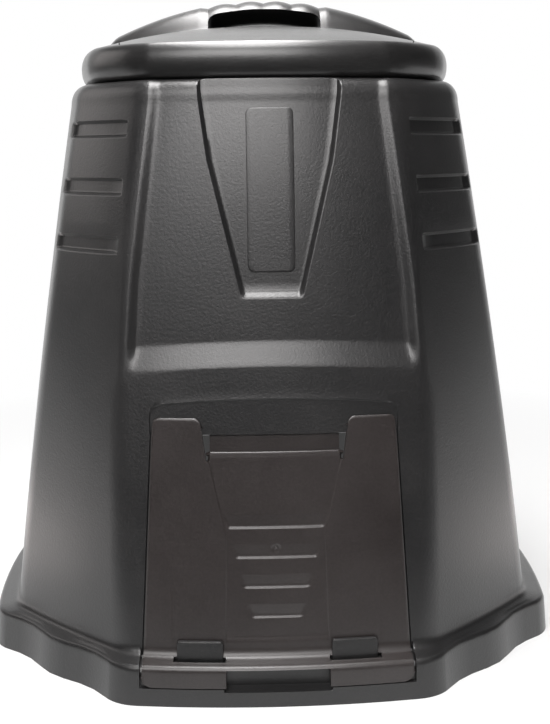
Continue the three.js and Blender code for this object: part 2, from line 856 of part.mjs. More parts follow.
const bin = new THREE.Group();
bin.add(meshOf("body_shell", bodyShell(), blackShell));
bin.add(meshOf("lid", lidShell(), blackLid));
bin.add(meshOf("hatch_door", hatchDoor(), brownBlackDoor));

export default bin;
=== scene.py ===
import math

import bpy
import numpy as np
from mathutils import Matrix, Vector


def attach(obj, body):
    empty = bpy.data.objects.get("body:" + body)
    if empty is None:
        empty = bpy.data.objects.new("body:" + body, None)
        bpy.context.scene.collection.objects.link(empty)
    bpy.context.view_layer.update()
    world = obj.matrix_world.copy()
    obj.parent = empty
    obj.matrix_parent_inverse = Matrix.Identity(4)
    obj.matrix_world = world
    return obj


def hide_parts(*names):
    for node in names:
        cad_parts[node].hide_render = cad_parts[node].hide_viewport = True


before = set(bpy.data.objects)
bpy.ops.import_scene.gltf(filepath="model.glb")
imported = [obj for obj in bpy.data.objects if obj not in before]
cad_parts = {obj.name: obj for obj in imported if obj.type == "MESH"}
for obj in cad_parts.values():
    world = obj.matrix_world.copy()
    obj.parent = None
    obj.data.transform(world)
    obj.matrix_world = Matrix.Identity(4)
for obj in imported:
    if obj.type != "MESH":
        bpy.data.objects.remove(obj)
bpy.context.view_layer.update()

# Body shell: the bin's one-piece body, open below and above, moulded in black recycled
# polyethylene. Four bowed flats and four narrower corner faces lean in from a foot flange to a
# rounded shoulder and the collar that the lid drops over. Lengths are in millimetres.

TO_METRES = 0.001
SHELL_WALL = 4.0
# An eight-sided plan drawn in by 1 has its flats' half width shortened by this
SLANT = math.tan(math.pi / 8)
WALL_FOOT_Z, WALL_TOP_Z = 50.0, 686.0
# Distance of a flat from the middle, half its width, and the bow of its middle: at the foot, at
# the top, and how much the first two swell half way up
HALF_FOOT, HALF_TOP, HALF_SWELL = 330.0, 232.0, 3.5
EDGE_FOOT, EDGE_TOP, EDGE_SWELL = 180.0, 150.0, 13.0
BOW_FOOT, BOW_TOP = 16.0, 24.0
# The flange: its side goes up to FLANGE_Z, then turns in; its corner faces are drawn in as waves
FLANGE_Z, FLANGE_TURN_AT, FLANGE_BOW, WAVE = 39.0, 351.0, 14.0, 8.0
FLANGE_HALF_FOOT, FLANGE_HALF_TOP = 361.0, 358.0
FLANGE_EDGE_FOOT, FLANGE_EDGE_TOP = 184.0, 182.0
SHOULDER_RISE, SHOULDER_DRAW = 23.5, 16.0
CORNER_SWELL = 16.0
GROOVE_TOP, GROOVE_SPACING, GROOVE_COUNT = 643.5, 67.2, 3
GROOVE_HEIGHT, GROOVE_SLOPE, GROOVE_DEPTH = 21.0, 4.0, 7.0
# A groove closes this far from the front or back flat, over a slope of this length
GROOVE_END, GROOVE_END_SLOPE = 14.0, 4.5


def mix(a, b, share):
    return a + (b - a) * share


def soft(share):
    share = np.clip(share, 0.0, 1.0)
    return share * share * (3.0 - 2.0 * share)


def ramp(share):
    share = np.clip(share, 0.0, 1.0)
    return 0.5 * (share + soft(share))


def rounded(gap, width, fall):
    """How far an edge that is rounded over a width falls back, at a gap from its end."""
    return fall * (1 - np.sqrt(1 - (1 - np.clip(gap / width, 0, 1)) ** 2))


def climbed(z):
    return (z - WALL_FOOT_Z) / (WALL_TOP_Z - WALL_FOOT_Z)


def wall_half(z):
    share = climbed(z)
    return mix(HALF_FOOT, HALF_TOP, share) + HALF_SWELL * 4.0 * share * (1.0 - share)


def wall_edge(z):
    share = climbed(z)
    return mix(EDGE_FOOT, EDGE_TOP, share) + EDGE_SWELL * 4.0 * share * (1.0 - share)


def wall_bow(z):
    return mix(BOW_FOOT, BOW_TOP, climbed(z))


def front_face(x, z):
    return -wall_half(z) - wall_bow(z) * (1.0 - (x / wall_edge(z)) ** 2)


def flange_side(z):
    return mix(FLANGE_HALF_FOOT, FLANGE_HALF_TOP, z / FLANGE_Z)


def flange_turn(degrees):
    """Height and distance from the middle on the flange's rounded upper edge."""
    a = math.radians(degrees)
    return FLANGE_Z + 8 * math.sin(a), FLANGE_TURN_AT + 7 * math.cos(a)


def flange_rows():
    rows = []
    for z in (0, 4, 8, 12, 15, 17.4, 18.2, 19, 20, 20.8, 21.4, 22, 24, 28, 32, 36):
        edge = mix(FLANGE_EDGE_FOOT, FLANGE_EDGE_TOP, z / FLANGE_Z)
        rows.append((z, flange_side(z), edge, FLANGE_BOW, WAVE))
    for degrees in (0, 18, 36, 54, 72, 90):
        rows.append((*flange_turn(degrees), FLANGE_EDGE_TOP, FLANGE_BOW, WAVE))
    for share, rise in ((0.3, 0.3), (0.65, 0.7), (1.0, 1.0)):
        rows.append((47 + 2.6 * rise, mix(FLANGE_TURN_AT, 339, share),
                     mix(FLANGE_EDGE_TOP, EDGE_FOOT, share), mix(FLANGE_BOW, BOW_FOOT, share),
                     WAVE * (1 - share)))
    for z, half in ((50.6, 335.4), (52.2, 332.6), (54.4, 331.0)):
        rows.append((z, half, EDGE_FOOT, BOW_FOOT, 0.0))
    return rows


def shoulder_rows():
    """The rounded shoulder, the ledge that the lid rests on, and the collar."""
    rows = []
    for degrees in (10, 20, 30, 40, 50, 60, 70, 80, 90):
        a = math.radians(degrees)
        draw = SHOULDER_DRAW * (1 - math.cos(a))
        rows.append((WALL_TOP_Z + SHOULDER_RISE * math.sin(a), draw))
    rows += [(709.6, 26), (709.7, 35), (710.6, 37), (718, 37), (734, 37), (734.9, 37.6)]
    return [(z, HALF_TOP - draw, EDGE_TOP - draw * SLANT, BOW_TOP, 0.0) for z, draw in rows]


def thinned(heights, least):
    """Heights in order, without those that follow another too closely."""
    kept = []
    for z in sorted(heights):
        if not kept or z - kept[-1] > least:
            kept.append(z)
    return kept


def wall_heights():
    """Heights of the wall's rows, closer together wherever a form begins or ends."""
    hatch_way = [57.5, 62, 83.2, 84, 84.8, *np.linspace(96, 280, 17), 288.2, 289, 289.8]
    surround = [304, 305, 306, *np.linspace(312, 338, 5), 343.2, 344.6, 345.4, 346.2, 347.5, 352]
    shelf = [360, 368, 375, 379, 381, 382.2, 383.2, 384.4, *np.linspace(386, 409, 13)]
    shelf += [410.4, 411.6, 412.8, 414.2, 417, 424, 433, 443, 452]
    recess_sill = [458, 459.4, 460.4, 461.4, 462.6, 463.8, 465, 466.5, 470, 478, 488]
    groove = [-1, 0, 0.8, 1.6, 2.4, 3.2, 4, 5.5, 8, 10.5, 13, 15.5, 17, 17.8, 18.6, 19.4, 20.2,
              21, 22]
    grooves = [GROOVE_TOP - i * GROOVE_SPACING + up for i in range(GROOVE_COUNT) for up in groove]
    between = [522, 530, 548, 557, 567, 590, 599, 606, 614, 624, 632, 672, 680, 685.5]
    return thinned(hatch_way + surround + shelf + recess_sill + grooves + between, 0.55)


# For each row of the shell: height, distance of a flat, half its width, its bow, depth of a wave
profile = flange_rows()
profile += [(z, wall_half(z), wall_edge(z), wall_bow(z), 0.0) for z in wall_heights()]
profile += shoulder_rows()
profile = np.array(profile)
row_z, row_half, row_edge, row_bow, row_wave = (profile[:, [i]] for i in range(5))
ROWS = len(profile)
above_wall = row_z > WALL_TOP_Z + 0.1

# Forms of the front: the door's seat, the panel above the arched shelf, the tapering recess in it
DOOR_FOOT_Z, DOOR_TOP_Z, DOOR_FOOT_WIDTH, DOOR_TOP_WIDTH = 38.0, 325.0, 314.0, 282.0
PANEL_FOOT_Z, PANEL_FOOT_WIDTH, PANEL_TOP_WIDTH = 383.0, 356.0, 278.0
PANEL_FOOT_DEPTH, PANEL_TOP_DEPTH, SHELF_RISE = 9.0, 5.0, 29.0
RECESS_FOOT_Z, RECESS_SILL = 459.5, 9.0
SEAT_TOP_Z, SEAT_DEPTH = 305.4, 2.9
FOOT_SEAT_HALF, FOOT_SEAT_DEPTH, FOOT_SEAT_DROP = 160.0, 5.2, 4.8
POCKET_HALF, POCKET_Y = 62.0, -356.0
SURROUND_HALF, SURROUND_TOP_Z, SURROUND_CORNER, SURROUND_DEPTH = 132.6, 335.0, 11.5, 1.5
# Both arches are given as a drop at a distance from the middle
SURROUND_DROP, SURROUND_DROP_AT = 8.7, 142.0
SHELF_DROP, SHELF_DROP_AT = 10.0, 178.0
FRONT_FILLET = 9.5


def door_half(z):
    share = (z - DOOR_FOOT_Z) / (DOOR_TOP_Z - DOOR_FOOT_Z)
    return mix(DOOR_FOOT_WIDTH, DOOR_TOP_WIDTH, share) / 2.0


def panel_share(z):
    return np.clip((z - PANEL_FOOT_Z) / (WALL_TOP_Z - PANEL_FOOT_Z), 0.0, 1.0)


def panel_half(z):
    half = mix(PANEL_FOOT_WIDTH, PANEL_TOP_WIDTH, panel_share(z)) / 2.0
    return np.minimum(half, wall_edge(np.clip(z, PANEL_FOOT_Z, WALL_TOP_Z)) - 5.5)


def panel_depth(z):
    return mix(PANEL_FOOT_DEPTH, PANEL_TOP_DEPTH, panel_share(z))


def recess_half(z):
    return np.interp(z, [460.0, 617.0, 696.0], [36.0, 73.5, 84.0])


def recess_depth(z):
    return 6.5 + 3.0 * np.clip((z - 560.0) / 136.0, 0, 1) ** 2


def columns_between(lines):
    """Columns between lines that are given from the middle out, and the same to the left."""
    half, last = [], 0 * lines[0][0]
    for line, count in lines:
        even = np.linspace(0, 1, count + 1)[1:]
        share = mix(even, 0.5 - 0.5 * np.cos(np.pi * even), 0.6)
        half.append(last[:, None] + (line - last)[:, None] * share[None, :])
        last = line
    half = np.hstack(half)
    return np.hstack([-half[:, ::-1], 0 * half[:, :1], half])


# Lines that the front's columns follow, so that a form's edge is never a stair: line_1 and line_2
# are the recess's side or the hatch way's, line_3 and line_4 the panel's side or the seat's, and
# line_5 is where the flat turns into the corner
z = row_z[:, 0]
fillet = np.interp(row_z, [0, 39, 52, 60, 686], [20, 20, 18, 16, 11])
panel_fillet = np.minimum(row_edge - panel_half(row_z) - 0.8, FRONT_FILLET)
front_fillet = mix(fillet, panel_fillet, soft((row_z - 340) / 38))
front_fillet = np.where(above_wall, FRONT_FILLET, front_fillet)
seat_line = np.where(z < 49.9, 160.4, np.where(z < SEAT_TOP_Z, door_half(z) + 2.4, 144.5))
line_1 = np.interp(z, [0, 50, 62, 280, 290, 308, 352, 461, 617, 696],
                   [62.4, 62.4, 80, 80, 87, 87, 72, 31.5, 68.5, 79])
line_2 = np.interp(z, [0, 50, 62, 306, 352, 461, 617, 696], [64, 64, 113, 113, 96, 37, 74.5, 85])
blend = soft((z - 348) / 32)
line_5 = row_edge[:, 0] - front_fillet[:, 0]
line_4 = np.minimum(mix(seat_line, panel_half(z) + 0.3, blend), line_5 - 0.4)
line_3 = np.minimum(mix(seat_line - 1.3, panel_half(z) - 12, blend), line_4 - 1.0)
LINE_1_AT, LINE_2_AT = 12, 18
front_columns = columns_between([(line_1, LINE_1_AT), (line_2, LINE_2_AT - LINE_1_AT),
                                 (line_3, 9), (line_4, 6), (line_5, 5)])
MIDDLE = front_columns.shape[1] // 2


def bezier(start, bend, end, share):
    return (1 - share) ** 2 * start + 2 * share * (1 - share) * bend + share ** 2 * end


def shell_plan():
    """Plan of the shell at every row: x, y, and for each point which way a groove pushes it."""
    xs, ys, pushes = [], [], []
    reach = (row_half - row_edge) * math.sqrt(2)
    steps = np.array([[0, 1.5, 3, 4.5, 6, 8]])
    t = np.linspace(0, 1, 7)[None, 1:-1]
    inward = np.array([-1.0, 1.0]) * math.sqrt(0.5)
    for quarter in range(4):
        cos = round(math.cos(quarter * math.pi / 2))
        sin = round(math.sin(quarter * math.pi / 2))
        near = front_fillet if quarter == 0 else fillet
        far = front_fillet if quarter == 3 else fillet
        flat_x = (row_edge - fillet) * np.linspace(-1, 1, 15)[None, :]
        if quarter == 0:
            flat_x = front_columns
        flat_y = -row_half - row_bow * (1 - (flat_x / row_edge) ** 2)
        # The grooves close near the front and back flats and run out through the side flats' edges
        leaves_end_flat = quarter % 2 == 0
        even = np.linspace(0, 1, 9)[None, :]
        if leaves_end_flat:
            rest = near + 8 + (reach - near - far - 8) * even[:, 1:]
            walk = np.hstack([near + steps, rest])
            from_end_flat = walk
        else:
            rest = near + (reach - near - far - 8) * even[:, :-1]
            walk = np.hstack([rest, reach - far - steps[:, ::-1]])
            from_end_flat = reach - walk
        along = walk / reach
        swell = CORNER_SWELL * along * (1 - along)
        swell = swell - row_wave * (1 - np.cos(4 * np.pi * along)) / 2
        corner_x = mix(row_edge, row_half, along) + swell * math.sqrt(0.5)
        corner_y = mix(-row_half, -row_edge, along) - swell * math.sqrt(0.5)
        near_x = bezier(flat_x[:, [-1]], row_edge, corner_x[:, [0]], t)
        near_y = bezier(flat_y[:, [-1]], -row_half, corner_y[:, [0]], t)
        next_y = far - row_edge
        next_x = row_half + row_bow * (1 - (next_y / row_edge) ** 2)
        far_x = bezier(corner_x[:, [-1]], row_half, next_x, t)
        far_y = bezier(corner_y[:, [-1]], -row_edge, next_y, t)
        closed = soft((from_end_flat - GROOVE_END) / GROOVE_END_SLOPE)
        run_out = np.clip(1 - 0.101 * np.clip(fillet * (2 * t - 1), 0, None), 0, 1)
        ends = (0 * run_out, run_out) if leaves_end_flat else (run_out[:, ::-1], 0 * run_out)
        push = np.hstack([0 * flat_x, ends[0], closed, ends[1]])
        px = np.hstack([flat_x, near_x, corner_x, far_x])
        py = np.hstack([flat_y, near_y, corner_y, far_y])
        xs.append(px * cos - py * sin)
        ys.append(px * sin + py * cos)
        turned = [inward[0] * cos - inward[1] * sin, inward[0] * sin + inward[1] * cos, 0.0]
        pushes.append(push[:, :, None] * np.array(turned))
    return np.hstack(xs), np.hstack(ys), np.concatenate(pushes, axis=1)


plan_x, plan_y, groove_push = shell_plan()
skin = np.stack([plan_x, plan_y, row_z + 0 * plan_x], axis=-1)

# Each form of the front is a depth that is pressed into the bowed wall
FRONT = slice(0, 2 * MIDDLE + 1)
fx, fy, fz = skin[:, FRONT, 0], skin[:, FRONT, 1], skin[:, FRONT, 2]
away = np.abs(fx)
shelf_arch = SHELF_DROP / SHELF_DROP_AT ** 2
arch = np.interp(row_z, [300, 346, 383, 412, 458],
                 [0, SURROUND_DROP / SURROUND_DROP_AT ** 2, shelf_arch, shelf_arch, 0])
starts = mix(line_4, line_2 + 10.0, soft((z - 348) / 14))
beyond = soft((away - starts[:, None]) / (line_5 - starts)[:, None])
fz = fz - arch * fx ** 2 * (1 - beyond)
fy = np.where((row_z > 55) & ~above_wall, front_face(fx, fz), fy)
shelf_z = fz + SHELF_DROP * (fx / SHELF_DROP_AT) ** 2
panel = panel_depth(fz) * ramp((shelf_z - PANEL_FOOT_Z) / SHELF_RISE)
panel = panel * soft((panel_half(fz) + 1 - away) / 15)
tapered = recess_depth(fz) * ramp((recess_half(fz) - away) / 6)
tapered = tapered * ramp((fz - RECESS_FOOT_Z) / RECESS_SILL)
seat = SEAT_DEPTH * soft((door_half(fz) + 2 - away) / 0.9) * (fz < SEAT_TOP_Z)
seat = seat * soft((fz - 54) / 3)
# The surround above the seat is a round-cornered step with a thin bead along its edge
in_x = away - SURROUND_HALF
in_z = fz + SURROUND_DROP * (fx / SURROUND_DROP_AT) ** 2 - SURROUND_TOP_Z
outside = np.hypot(np.maximum(in_x, 0), np.maximum(in_z, 0))
outside = outside + np.minimum(np.maximum(in_x, in_z), 0) - SURROUND_CORNER
bead = 0.5 * np.exp(-((outside - 1.2) / 1.0) ** 2) * soft((fz - 318) / 12)
surround = SURROUND_DEPTH * soft(-outside / 1.6 + 0.5) * (fz >= SEAT_TOP_Z) - bead
foot_seat = soft((FOOT_SEAT_HALF - away) / 0.9) * soft((fz - 20.8) / 1.1)
seat_end = soft((57 - fz) / 6)
# Above the wall the recess runs up until the rounded shoulder falls back behind it
fallen = np.where(above_wall, np.maximum(fy - front_face(fx, fz), 0.0), 0.0)
left = np.clip(tapered - fallen, 0, None)
run_out = np.where(left < 2, left ** 2 / 4 + 0.25 * left, left - 0.5)
tapered = np.where(above_wall, run_out, tapered)
fy = fy + panel + tapered + seat + surround + FOOT_SEAT_DEPTH * foot_seat * seat_end
# The finger notch in the door's foot has a flat pocket behind it
pocket = soft((POCKET_HALF - away) / 1.6) * soft((fz - 17.6) / 1.4) * (row_z < 47.5)
skin[:, FRONT, 1] = mix(fy, np.maximum(fy, POCKET_Y), pocket)
skin[:, FRONT, 2] = fz - FOOT_SEAT_DROP * foot_seat * soft((fz - 36) / 9) * seat_end


def sheet_normals(points, closed):
    """Normals of a sheet of points that faces the way its rows and columns turn."""
    if closed:
        along = np.roll(points, -1, axis=1) - np.roll(points, 1, axis=1)
    else:
        along = np.gradient(points, axis=1)
    normal = np.cross(along, np.gradient(points, axis=0))
    return normal / np.maximum(np.linalg.norm(normal, axis=2, keepdims=True), 1e-9)


def ring_normals(ring):
    along = np.roll(ring, -1, axis=0) - np.roll(ring, 1, axis=0)
    out = np.stack([along[:, 1], -along[:, 0], 0 * along[:, 0]], axis=1)
    return out / np.linalg.norm(out, axis=1, keepdims=True)


class Sheets:
    """Points and faces of one mesh, gathered sheet by sheet."""

    def __init__(self):
        self.points, self.faces, self.caps = [], [], []
        self.pushes, self.across = [], []
        self.count = 0

    def add(self, points, push=None, across=None):
        """Adds a sheet; push and across are what the pressed rows read at its points."""
        flat = np.asarray(points, float).reshape(-1, 3)
        numbers = self.count + np.arange(len(flat)).reshape(points.shape[:-1])
        self.points.append(flat)
        self.pushes.append(0 * flat if push is None else push.reshape(-1, 3))
        self.across.append(0 * flat[:, 0] if across is None else across.ravel())
        self.count += len(flat)
        return numbers

    def quads(self, numbers, keep=None, closed=False, turned=False):
        right = np.roll(numbers, -1, axis=1) if closed else numbers[:, 1:]
        left = numbers if closed else numbers[:, :-1]
        made = np.stack([left[:-1], right[:-1], right[1:], left[1:]], axis=-1)
        if turned:
            made = made[:, :, ::-1]
        self.faces.append(made[keep] if keep is not None else made.reshape(-1, 4))

    def rim(self, outer, inner, keep, closed=False):
        """Closes the gap between two sheets wherever a kept quad meets none.

        On a closed sheet the first and last row are left alone."""
        for axis in (0, 1):
            if closed and axis == 1:
                before, after = np.roll(keep, 1, axis=1), keep
            else:
                pads = [[(1, 0), (0, 0)], [(0, 1), (0, 0)]]
                if axis == 1:
                    pads = [[(0, 0), (1, 0)], [(0, 0), (0, 1)]]
                mode = "edge" if closed else "constant"
                before, after = (np.pad(keep, pad, mode) for pad in pads)
            for r, c in zip(*np.nonzero(before != after)):
                a = (r, c)
                b = (r, (c + 1) % outer.shape[1]) if axis == 0 else (r + 1, c)
                if after[r, c] == (axis == 0):
                    a, b = b, a
                self.faces.append(np.array([[outer[a], outer[b], inner[b], inner[a]]]))

    def mesh(self, name):
        points, faces = np.vstack(self.points) * TO_METRES, np.vstack(self.faces)
        made = bpy.data.meshes.new(name)
        made.from_pydata(points.tolist(), [], faces.tolist() + self.caps)
        push = made.attributes.new("push", "FLOAT_VECTOR", "POINT")
        push.data.foreach_set("vector", np.vstack(self.pushes).ravel().astype(np.float32))
        across = made.attributes.new("across", "FLOAT", "POINT")
        values = np.concatenate(self.across) * TO_METRES
        across.data.foreach_set("value", values.astype(np.float32))
        made.update()
        return made


def rounded_slab(sheets, low, high, half_width, middle, front_at, back_at, bevel, corner):
    """A plate with rounded edges and corners, between two depths from the front face."""
    edge = np.array([0, 0.3 * bevel, bevel])
    ends = np.concatenate([edge, bevel + corner * np.array([0.12, 0.3, 0.6, 1.0])])
    between = np.linspace(low, high, 13)[2:-2]
    heights = np.concatenate([low + ends, between, high - ends[::-1]])
    drawn = rounded(np.minimum(heights - low, high - heights), corner, corner)[:, None]
    left, right = middle - half_width + drawn, middle + half_width - drawn
    shares = np.linspace(0, 1, 15)[2:-2]
    x = np.hstack([left + edge, left + (right - left) * shares, right - edge[::-1]])
    up = heights[:, None] + 0 * x
    from_side = np.minimum(np.minimum(x - left, right - x), np.minimum(up - low, high - up))
    face = front_face(x, up)
    drop = rounded(from_side, bevel, bevel)
    outer = sheets.add(np.stack([x, face + front_at(up) + drop, up], axis=-1))
    back = sheets.add(np.stack([x, face + back_at(up), up], axis=-1))
    sheets.quads(outer)
    sheets.quads(back, turned=True)
    sheets.rim(outer, back, np.ones((len(heights) - 1, x.shape[1] - 1), bool))


# The wall's two skins, cut through where the hatch way and the slot above it are
INNER_FOOT_Z, WAY_FOOT_Z, TONGUE_FOOT_Z, SLOT_TOP_Z = 9.0, 84.0, 289.0, 305.0
inner_skin = skin - SHELL_WALL * sheet_normals(skin, True)
inner_skin[-1, :, 2] = skin[-1, :, 2]
inner_skin[:, :, 2] = np.maximum(inner_skin[:, :, 2], INNER_FOOT_Z)
shell_sheets = Sheets()
groove_push *= ((row_z > 400) & (row_z < 680))[:, :, None]
outer_numbers = shell_sheets.add(skin, groove_push)
inner_numbers = shell_sheets.add(inner_skin, groove_push)
keep = np.ones((ROWS - 1, skin.shape[1]), bool)
mid_z = (z[1:] + z[:-1]) / 2
for top_z, line_at in ((TONGUE_FOOT_Z, LINE_2_AT), (SLOT_TOP_Z, LINE_1_AT)):
    way = (mid_z > WAY_FOOT_Z) & (mid_z < top_z)
    keep[np.ix_(way, range(MIDDLE - line_at, MIDDLE + line_at))] = False
shell_sheets.quads(outer_numbers, keep, closed=True)
first_inner = int(np.argmax(z > 12))
inner_keep = keep.copy()
inner_keep[:first_inner] = False
shell_sheets.quads(inner_numbers, inner_keep, closed=True, turned=True)
shell_sheets.rim(outer_numbers, inner_numbers, keep, closed=True)
shell_sheets.quads(np.stack([outer_numbers[-1], inner_numbers[-1]]), closed=True)
# The foot stands on a lip 16 wide, whose inner edge is 5 high
lip = skin[0] - 16 * ring_normals(skin[0])
lip_numbers = shell_sheets.add(np.stack([lip, lip + [0, 0, 5]]))
foot = np.vstack([outer_numbers[:1], lip_numbers, inner_numbers[first_inner:first_inner + 1]])
shell_sheets.quads(foot, closed=True, turned=True)

# The two lugs in front of the door's foot, and the bare plate in the tapered recess
LUG_X, LUG_HALF, LUG_FOOT_Z, LUG_TOP_Z = 90, 27, 42.5, 69
PLATE_HALF, PLATE_FOOT_Z, PLATE_TOP_Z = 27.5, 489, 676
for side in (-1, 1):
    rounded_slab(shell_sheets, LUG_FOOT_Z, LUG_TOP_Z, LUG_HALF, side * LUG_X,
                 lambda z: 0 * z - 8.5, lambda z: 0 * z - 3.5, 1.6, 3.0)
rounded_slab(shell_sheets, PLATE_FOOT_Z, PLATE_TOP_Z, PLATE_HALF, 0,
             lambda z: panel_depth(z) + recess_depth(z) - 1.4,
             lambda z: panel_depth(z) + recess_depth(z) + 1.0, 1.2, 7.0)


def srgb(code):
    """A colour written as sRGB hex, as the linear values a shader takes."""
    parts = [int(code[i:i + 2], 16) / 255 for i in (1, 3, 5)]
    return (*(p / 12.92 if p <= 0.04045 else ((p + 0.055) / 1.055) ** 2.4 for p in parts), 1.0)


def add(tree, kind, links=(), **settings):
    """Adds a node. Settings are its own; links are pairs of a socket and what goes into it: a
    value, another node's socket, or another node, whose first output is meant."""
    made = tree.nodes.new(kind)
    for name, value in settings.items():
        setattr(made, name, value)
    for socket, value in links:
        if isinstance(value, bpy.types.Node):
            value = value.outputs[0]
        if isinstance(value, bpy.types.NodeSocket):
            tree.links.new(value, made.inputs[socket])
        else:
            made.inputs[socket].default_value = value
    return made


def emptied(holder):
    """The node tree of a new material or world, with nothing in it."""
    holder.use_nodes = True
    holder.node_tree.nodes.clear()
    return holder.node_tree


def placed(name, data):
    """A new object in the scene, at the origin."""
    made = bpy.data.objects.new(name, data)
    bpy.context.scene.collection.objects.link(made)
    return made


def pressed_rows_tree():
    """Pushes a stack of like shallow pockets into a surface, each below the last by one spacing."""
    tree = bpy.data.node_groups.new("pressed rows", "GeometryNodeTree")
    tree.interface.new_socket("Geometry", in_out="INPUT", socket_type="NodeSocketGeometry")
    for name in ("Top Sill", "Spacing", "Last", "Height", "Low Slope", "High Slope", "Depth",
                 "Top Half Width", "Foot Half Width", "Flare", "Side Slope"):
        tree.interface.new_socket(name, in_out="INPUT", socket_type="NodeSocketFloat")
    tree.interface.new_socket("Material", in_out="INPUT", socket_type="NodeSocketMaterial")
    tree.interface.new_socket("Geometry", in_out="OUTPUT", socket_type="NodeSocketGeometry")
    given = add(tree, "NodeGroupInput").outputs
    # Which pocket a point belongs to, and how far it lies above that pocket's sill
    place = add(tree, "GeometryNodeInputPosition")
    height = add(tree, "ShaderNodeSeparateXYZ", [(0, place)]).outputs["Z"]
    below = add(tree, "ShaderNodeMath", [(0, given["Top Sill"]), (1, height)], operation="SUBTRACT")
    steps = add(tree, "ShaderNodeMath", [(0, below), (1, given["Spacing"])], operation="DIVIDE")
    whole = add(tree, "ShaderNodeMath", [(0, steps)], operation="CEIL")
    number = add(tree, "ShaderNodeClamp", [("Value", whole), ("Min", 0.0), ("Max", given["Last"])])
    drop = add(tree, "ShaderNodeMath", [(0, number), (1, given["Spacing"])], operation="MULTIPLY")
    rise = add(tree, "ShaderNodeMath", [(0, drop), (1, below)], operation="SUBTRACT")
    # How far it is inside the pocket's lower edge, upper edge and side
    low = add(tree, "ShaderNodeMapRange", [
        ("Value", rise), ("From Max", given["Low Slope"])], interpolation_type="SMOOTHSTEP")
    left = add(tree, "ShaderNodeMath", [(0, given["Height"]), (1, rise)], operation="SUBTRACT")
    high = add(tree, "ShaderNodeMapRange", [
        ("Value", left), ("From Max", given["High Slope"])])
    share = add(tree, "ShaderNodeMath", [(0, number), (1, given["Last"])], operation="DIVIDE")
    half = add(tree, "ShaderNodeMapRange", [
        ("Value", share), ("To Min", given["Top Half Width"]),
        ("To Max", given["Foot Half Width"])])
    part = add(tree, "ShaderNodeMath", [(0, rise), (1, given["Height"])], operation="DIVIDE")
    flare = add(tree, "ShaderNodeMath", [
        (0, part), (1, given["Flare"]), (2, half)], operation="MULTIPLY_ADD")
    across = add(tree, "GeometryNodeInputNamedAttribute", [("Name", "across")], data_type="FLOAT")
    spare = add(tree, "ShaderNodeMath", [(0, flare), (1, across)], operation="SUBTRACT")
    side = add(tree, "ShaderNodeMapRange", [
        ("Value", spare), ("From Max", given["Side Slope"])], interpolation_type="SMOOTHSTEP")
    both = add(tree, "ShaderNodeMath", [(0, low), (1, high)], operation="MULTIPLY")
    pocket = add(tree, "ShaderNodeMath", [(0, both), (1, side)], operation="MULTIPLY")
    amount = add(tree, "ShaderNodeMath", [(0, pocket), (1, given["Depth"])], operation="MULTIPLY")
    way_in = add(tree, "GeometryNodeInputNamedAttribute", [("Name", "push")],
                 data_type="FLOAT_VECTOR")
    offset = add(tree, "ShaderNodeVectorMath", [(0, way_in), ("Scale", amount)], operation="SCALE")
    moved = add(tree, "GeometryNodeSetPosition", [
        ("Geometry", given["Geometry"]), ("Offset", offset)])
    real = add(tree, "GeometryNodeRealizeInstances", [("Geometry", moved)])
    painted = add(tree, "GeometryNodeSetMaterial", [
        ("Geometry", real), ("Material", given["Material"])])
    add(tree, "NodeGroupOutput", [(0, painted)])
    return tree


pressed_rows = pressed_rows_tree()
# Edges steeper than this stay sharp; everything else on a moulding shades smooth
SHARP_FROM = 38


def pressed(mesh, name, material, sizes):
    """One plain mesh with its rows of pockets pressed in, given the piece's material."""
    blank = placed(name + " blank", mesh)
    modifier = blank.modifiers.new("pressed rows", "NODES")
    modifier.node_group = pressed_rows
    for item in pressed_rows.interface.items_tree:
        if item.item_type == "SOCKET" and item.in_out == "INPUT":
            if item.name in sizes:
                scale = 1.0 if item.name == "Last" else TO_METRES
                modifier[item.identifier] = float(sizes[item.name] * scale)
            elif item.name == "Material":
                modifier[item.identifier] = material
    evaluated = blank.evaluated_get(bpy.context.evaluated_depsgraph_get())
    plain = bpy.data.meshes.new_from_object(evaluated)
    bpy.data.objects.remove(blank)
    return finished(plain, name, material)


def finished(mesh, name, material):
    """A smooth-shaded piece with one material and no helper attributes left on it."""
    for spare in ("push", "across"):
        mesh.attributes.remove(mesh.attributes[spare])
    mesh.materials.clear()
    mesh.materials.append(material)
    mesh.shade_smooth()
    mesh.set_sharp_from_angle(angle=math.radians(SHARP_FROM))
    return placed(name, mesh)


